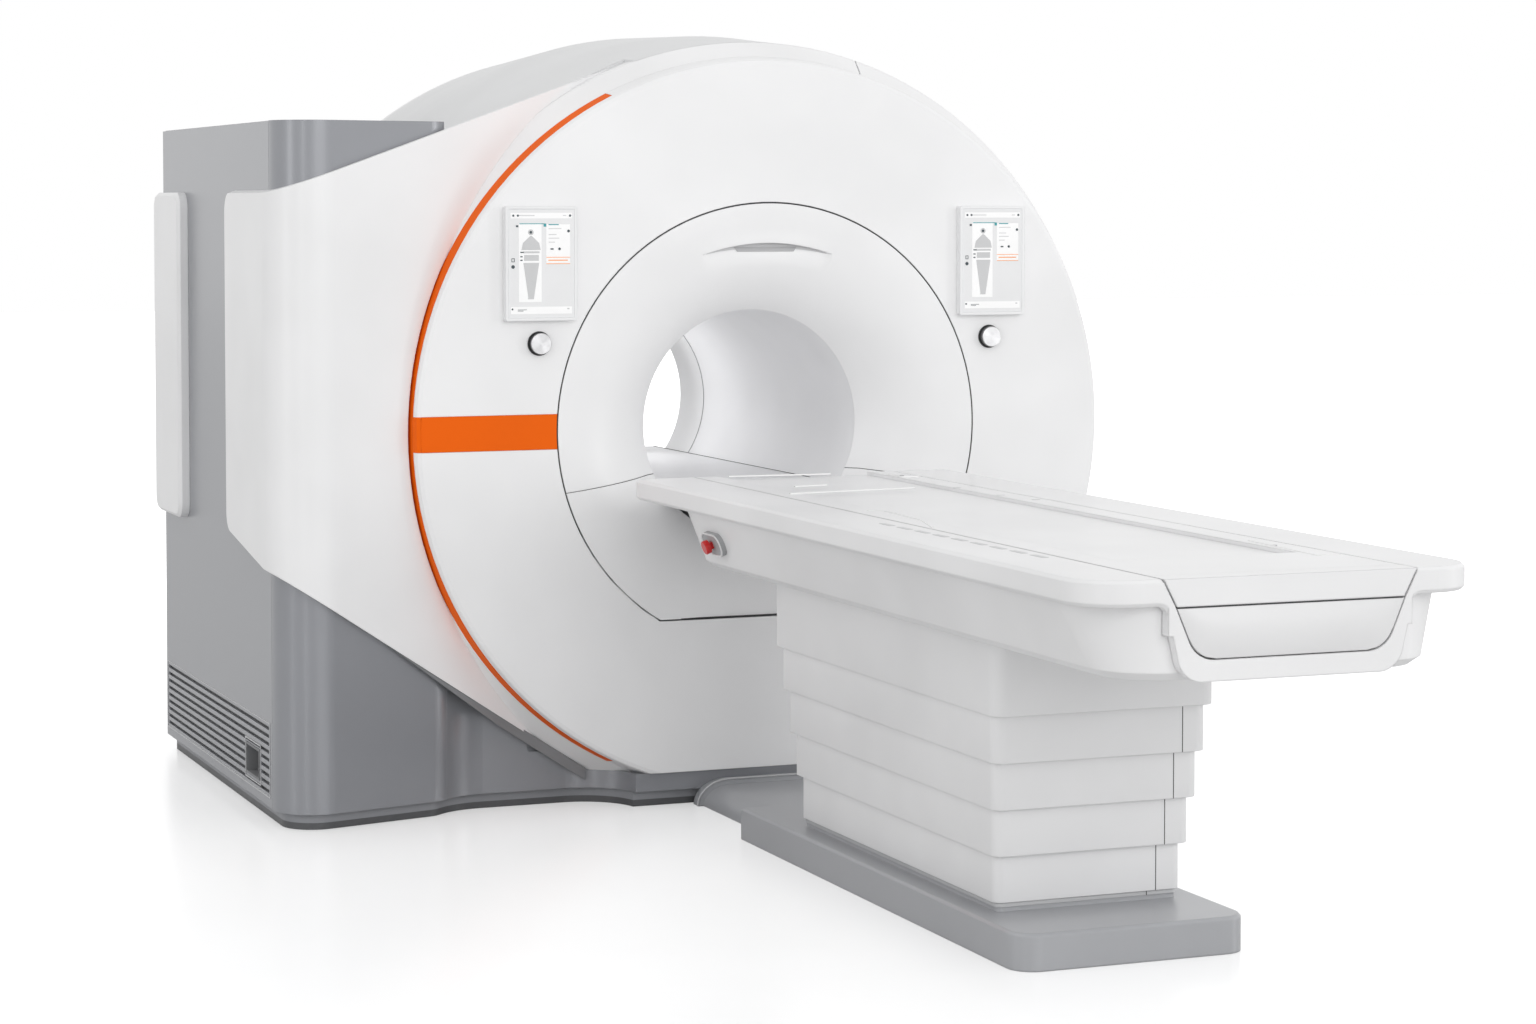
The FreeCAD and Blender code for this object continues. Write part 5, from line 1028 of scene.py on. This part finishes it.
def stage_floor():
    """White floor that keeps the object's shadow and a faint reflection.

    For the camera alone it fades into the white background away from the object.
    """
    bpy.ops.mesh.primitive_plane_add(size=FLOOR_SIZE, location=FLOOR_PLACE)
    floor = bpy.context.object
    floor.name = "stage_floor"
    material, nodes, links, shader = new_material("floor")
    dust = add_noise(nodes, links, 1.5)
    links.new(ramp(nodes, links, dust, (0.66, 0.66, 0.66), (0.68, 0.68, 0.68)),
              shader.inputs["Base Color"])
    set_inputs(shader, {"Roughness": 0.25, "Emission Color": WHITE})
    place = nodes.new("ShaderNodeTexCoord")
    far = nodes.new("ShaderNodeVectorMath")
    far.operation = "LENGTH"
    links.new(place.outputs["Object"], far.inputs[0])
    fade = map_range(nodes, links, far.outputs["Value"], FLOOR_LIFT, 1.0,
                     FLOOR_NEAR, FLOOR_FAR)
    fade.interpolation_type = "SMOOTHSTEP"
    path = nodes.new("ShaderNodeLightPath")
    lift = combine(nodes, links, "MULTIPLY", path.outputs["Is Camera Ray"],
                   fade.outputs["Result"])
    links.new(lift, shader.inputs["Emission Strength"])
    floor.data.materials.append(material)


def light_world():
    """White surroundings for the camera, gloss and glass, softer light otherwise."""
    world = bpy.data.worlds.new("studio")
    bpy.context.scene.world = world
    world.use_nodes = True
    nodes, links = world.node_tree.nodes, world.node_tree.links
    nodes.clear()
    path = nodes.new("ShaderNodeLightPath")
    seen = combine(nodes, links, "MAXIMUM", path.outputs["Is Camera Ray"],
                   path.outputs["Is Transmission Ray"])
    shown = combine(nodes, links, "MAXIMUM", seen, path.outputs["Is Glossy Ray"])
    mix = nodes.new("ShaderNodeMixShader")
    links.new(shown, mix.inputs["Fac"])
    for socket, strength in ((1, WORLD_SOFT), (2, 1.0)):
        background = nodes.new("ShaderNodeBackground")
        set_inputs(background, {"Color": WHITE, "Strength": strength})
        links.new(background.outputs["Background"], mix.inputs[socket])
    out = nodes.new("ShaderNodeOutputWorld")
    links.new(mix.outputs["Shader"], out.inputs["Surface"])


def area_lamp(name, place, target, size, power, spread=180):
    """Soft lamp that the camera doesn't see, aimed at a target."""
    data = bpy.data.lights.new(name, "AREA")
    data.shape = "RECTANGLE"
    data.size, data.size_y = size
    data.energy = power
    data.spread = math.radians(spread)
    lamp = bpy.data.objects.new(name, data)
    bpy.context.collection.objects.link(lamp)
    lamp.location = place
    aim = Vector(target) - Vector(place)
    lamp.rotation_euler = aim.to_track_quat("-Z", "Y").to_euler()
    lamp.visible_camera = False
    return lamp


def studio():
    """Floor, world and lamps; the bore's lamp stands just inside its rear opening."""
    stage_floor()
    light_world()
    area_lamp("key", (1.2, -15.0, 5.0), (0, -0.8, 0.8), (9, 6), 405)
    area_lamp("left", (-6.6, -2.4, 1.9), (-0.4, -1.2, 0.6), (1.2, 3.0), 24)
    area_lamp("right", (6.0, -5.0, 2.0), (0.3, -1.5, 0.6), (1.2, 3.0), 50)
    area_lamp("strip", (-5.2, -6.4, 1.7), (-0.9, -0.6, 0.9), (0.25, 3.4), 16)
    bore = area_lamp("bore", (-0.06, REAR_Y - 0.12, BORE_Z + 0.08),
                     (0.10, FACE_Y, BORE_Z + 0.02), (0.30, 0.26), 1.0, 125)
    bore.visible_glossy = False


def camera():
    """Camera at the photograph's place, angle and frame."""
    data = bpy.data.cameras.new("camera")
    data.sensor_width = 36
    data.lens = FOCAL_PX / IMAGE_WIDTH * data.sensor_width
    data.shift_y = (AXIS_ROW - IMAGE_HEIGHT / 2) / IMAGE_WIDTH
    view = bpy.data.objects.new("camera", data)
    bpy.context.collection.objects.link(view)
    view.location = CAMERA_PLACE
    look = Vector((math.sin(CAMERA_YAW) * math.cos(CAMERA_DOWN),
                   math.cos(CAMERA_YAW) * math.cos(CAMERA_DOWN),
                   -math.sin(CAMERA_DOWN)))
    view.rotation_euler = look.to_track_quat("-Z", "Y").to_euler()
    bpy.context.scene.camera = view


dress_nodes()
front_funnel()
hood_strip()
hood_shade()
funnel_gasket()
split_gasket()
screens()
knob_rims()
bore_details()
band_end()
table_marks()
near_end_seal()
end_cover_skin()
stop_rims()
sleeve_skins()
foot_ring()
duct_skin()
louvre_parts()
wing_flange()
camera()
studio()
bpy.context.scene.view_settings.view_transform = "Standard"
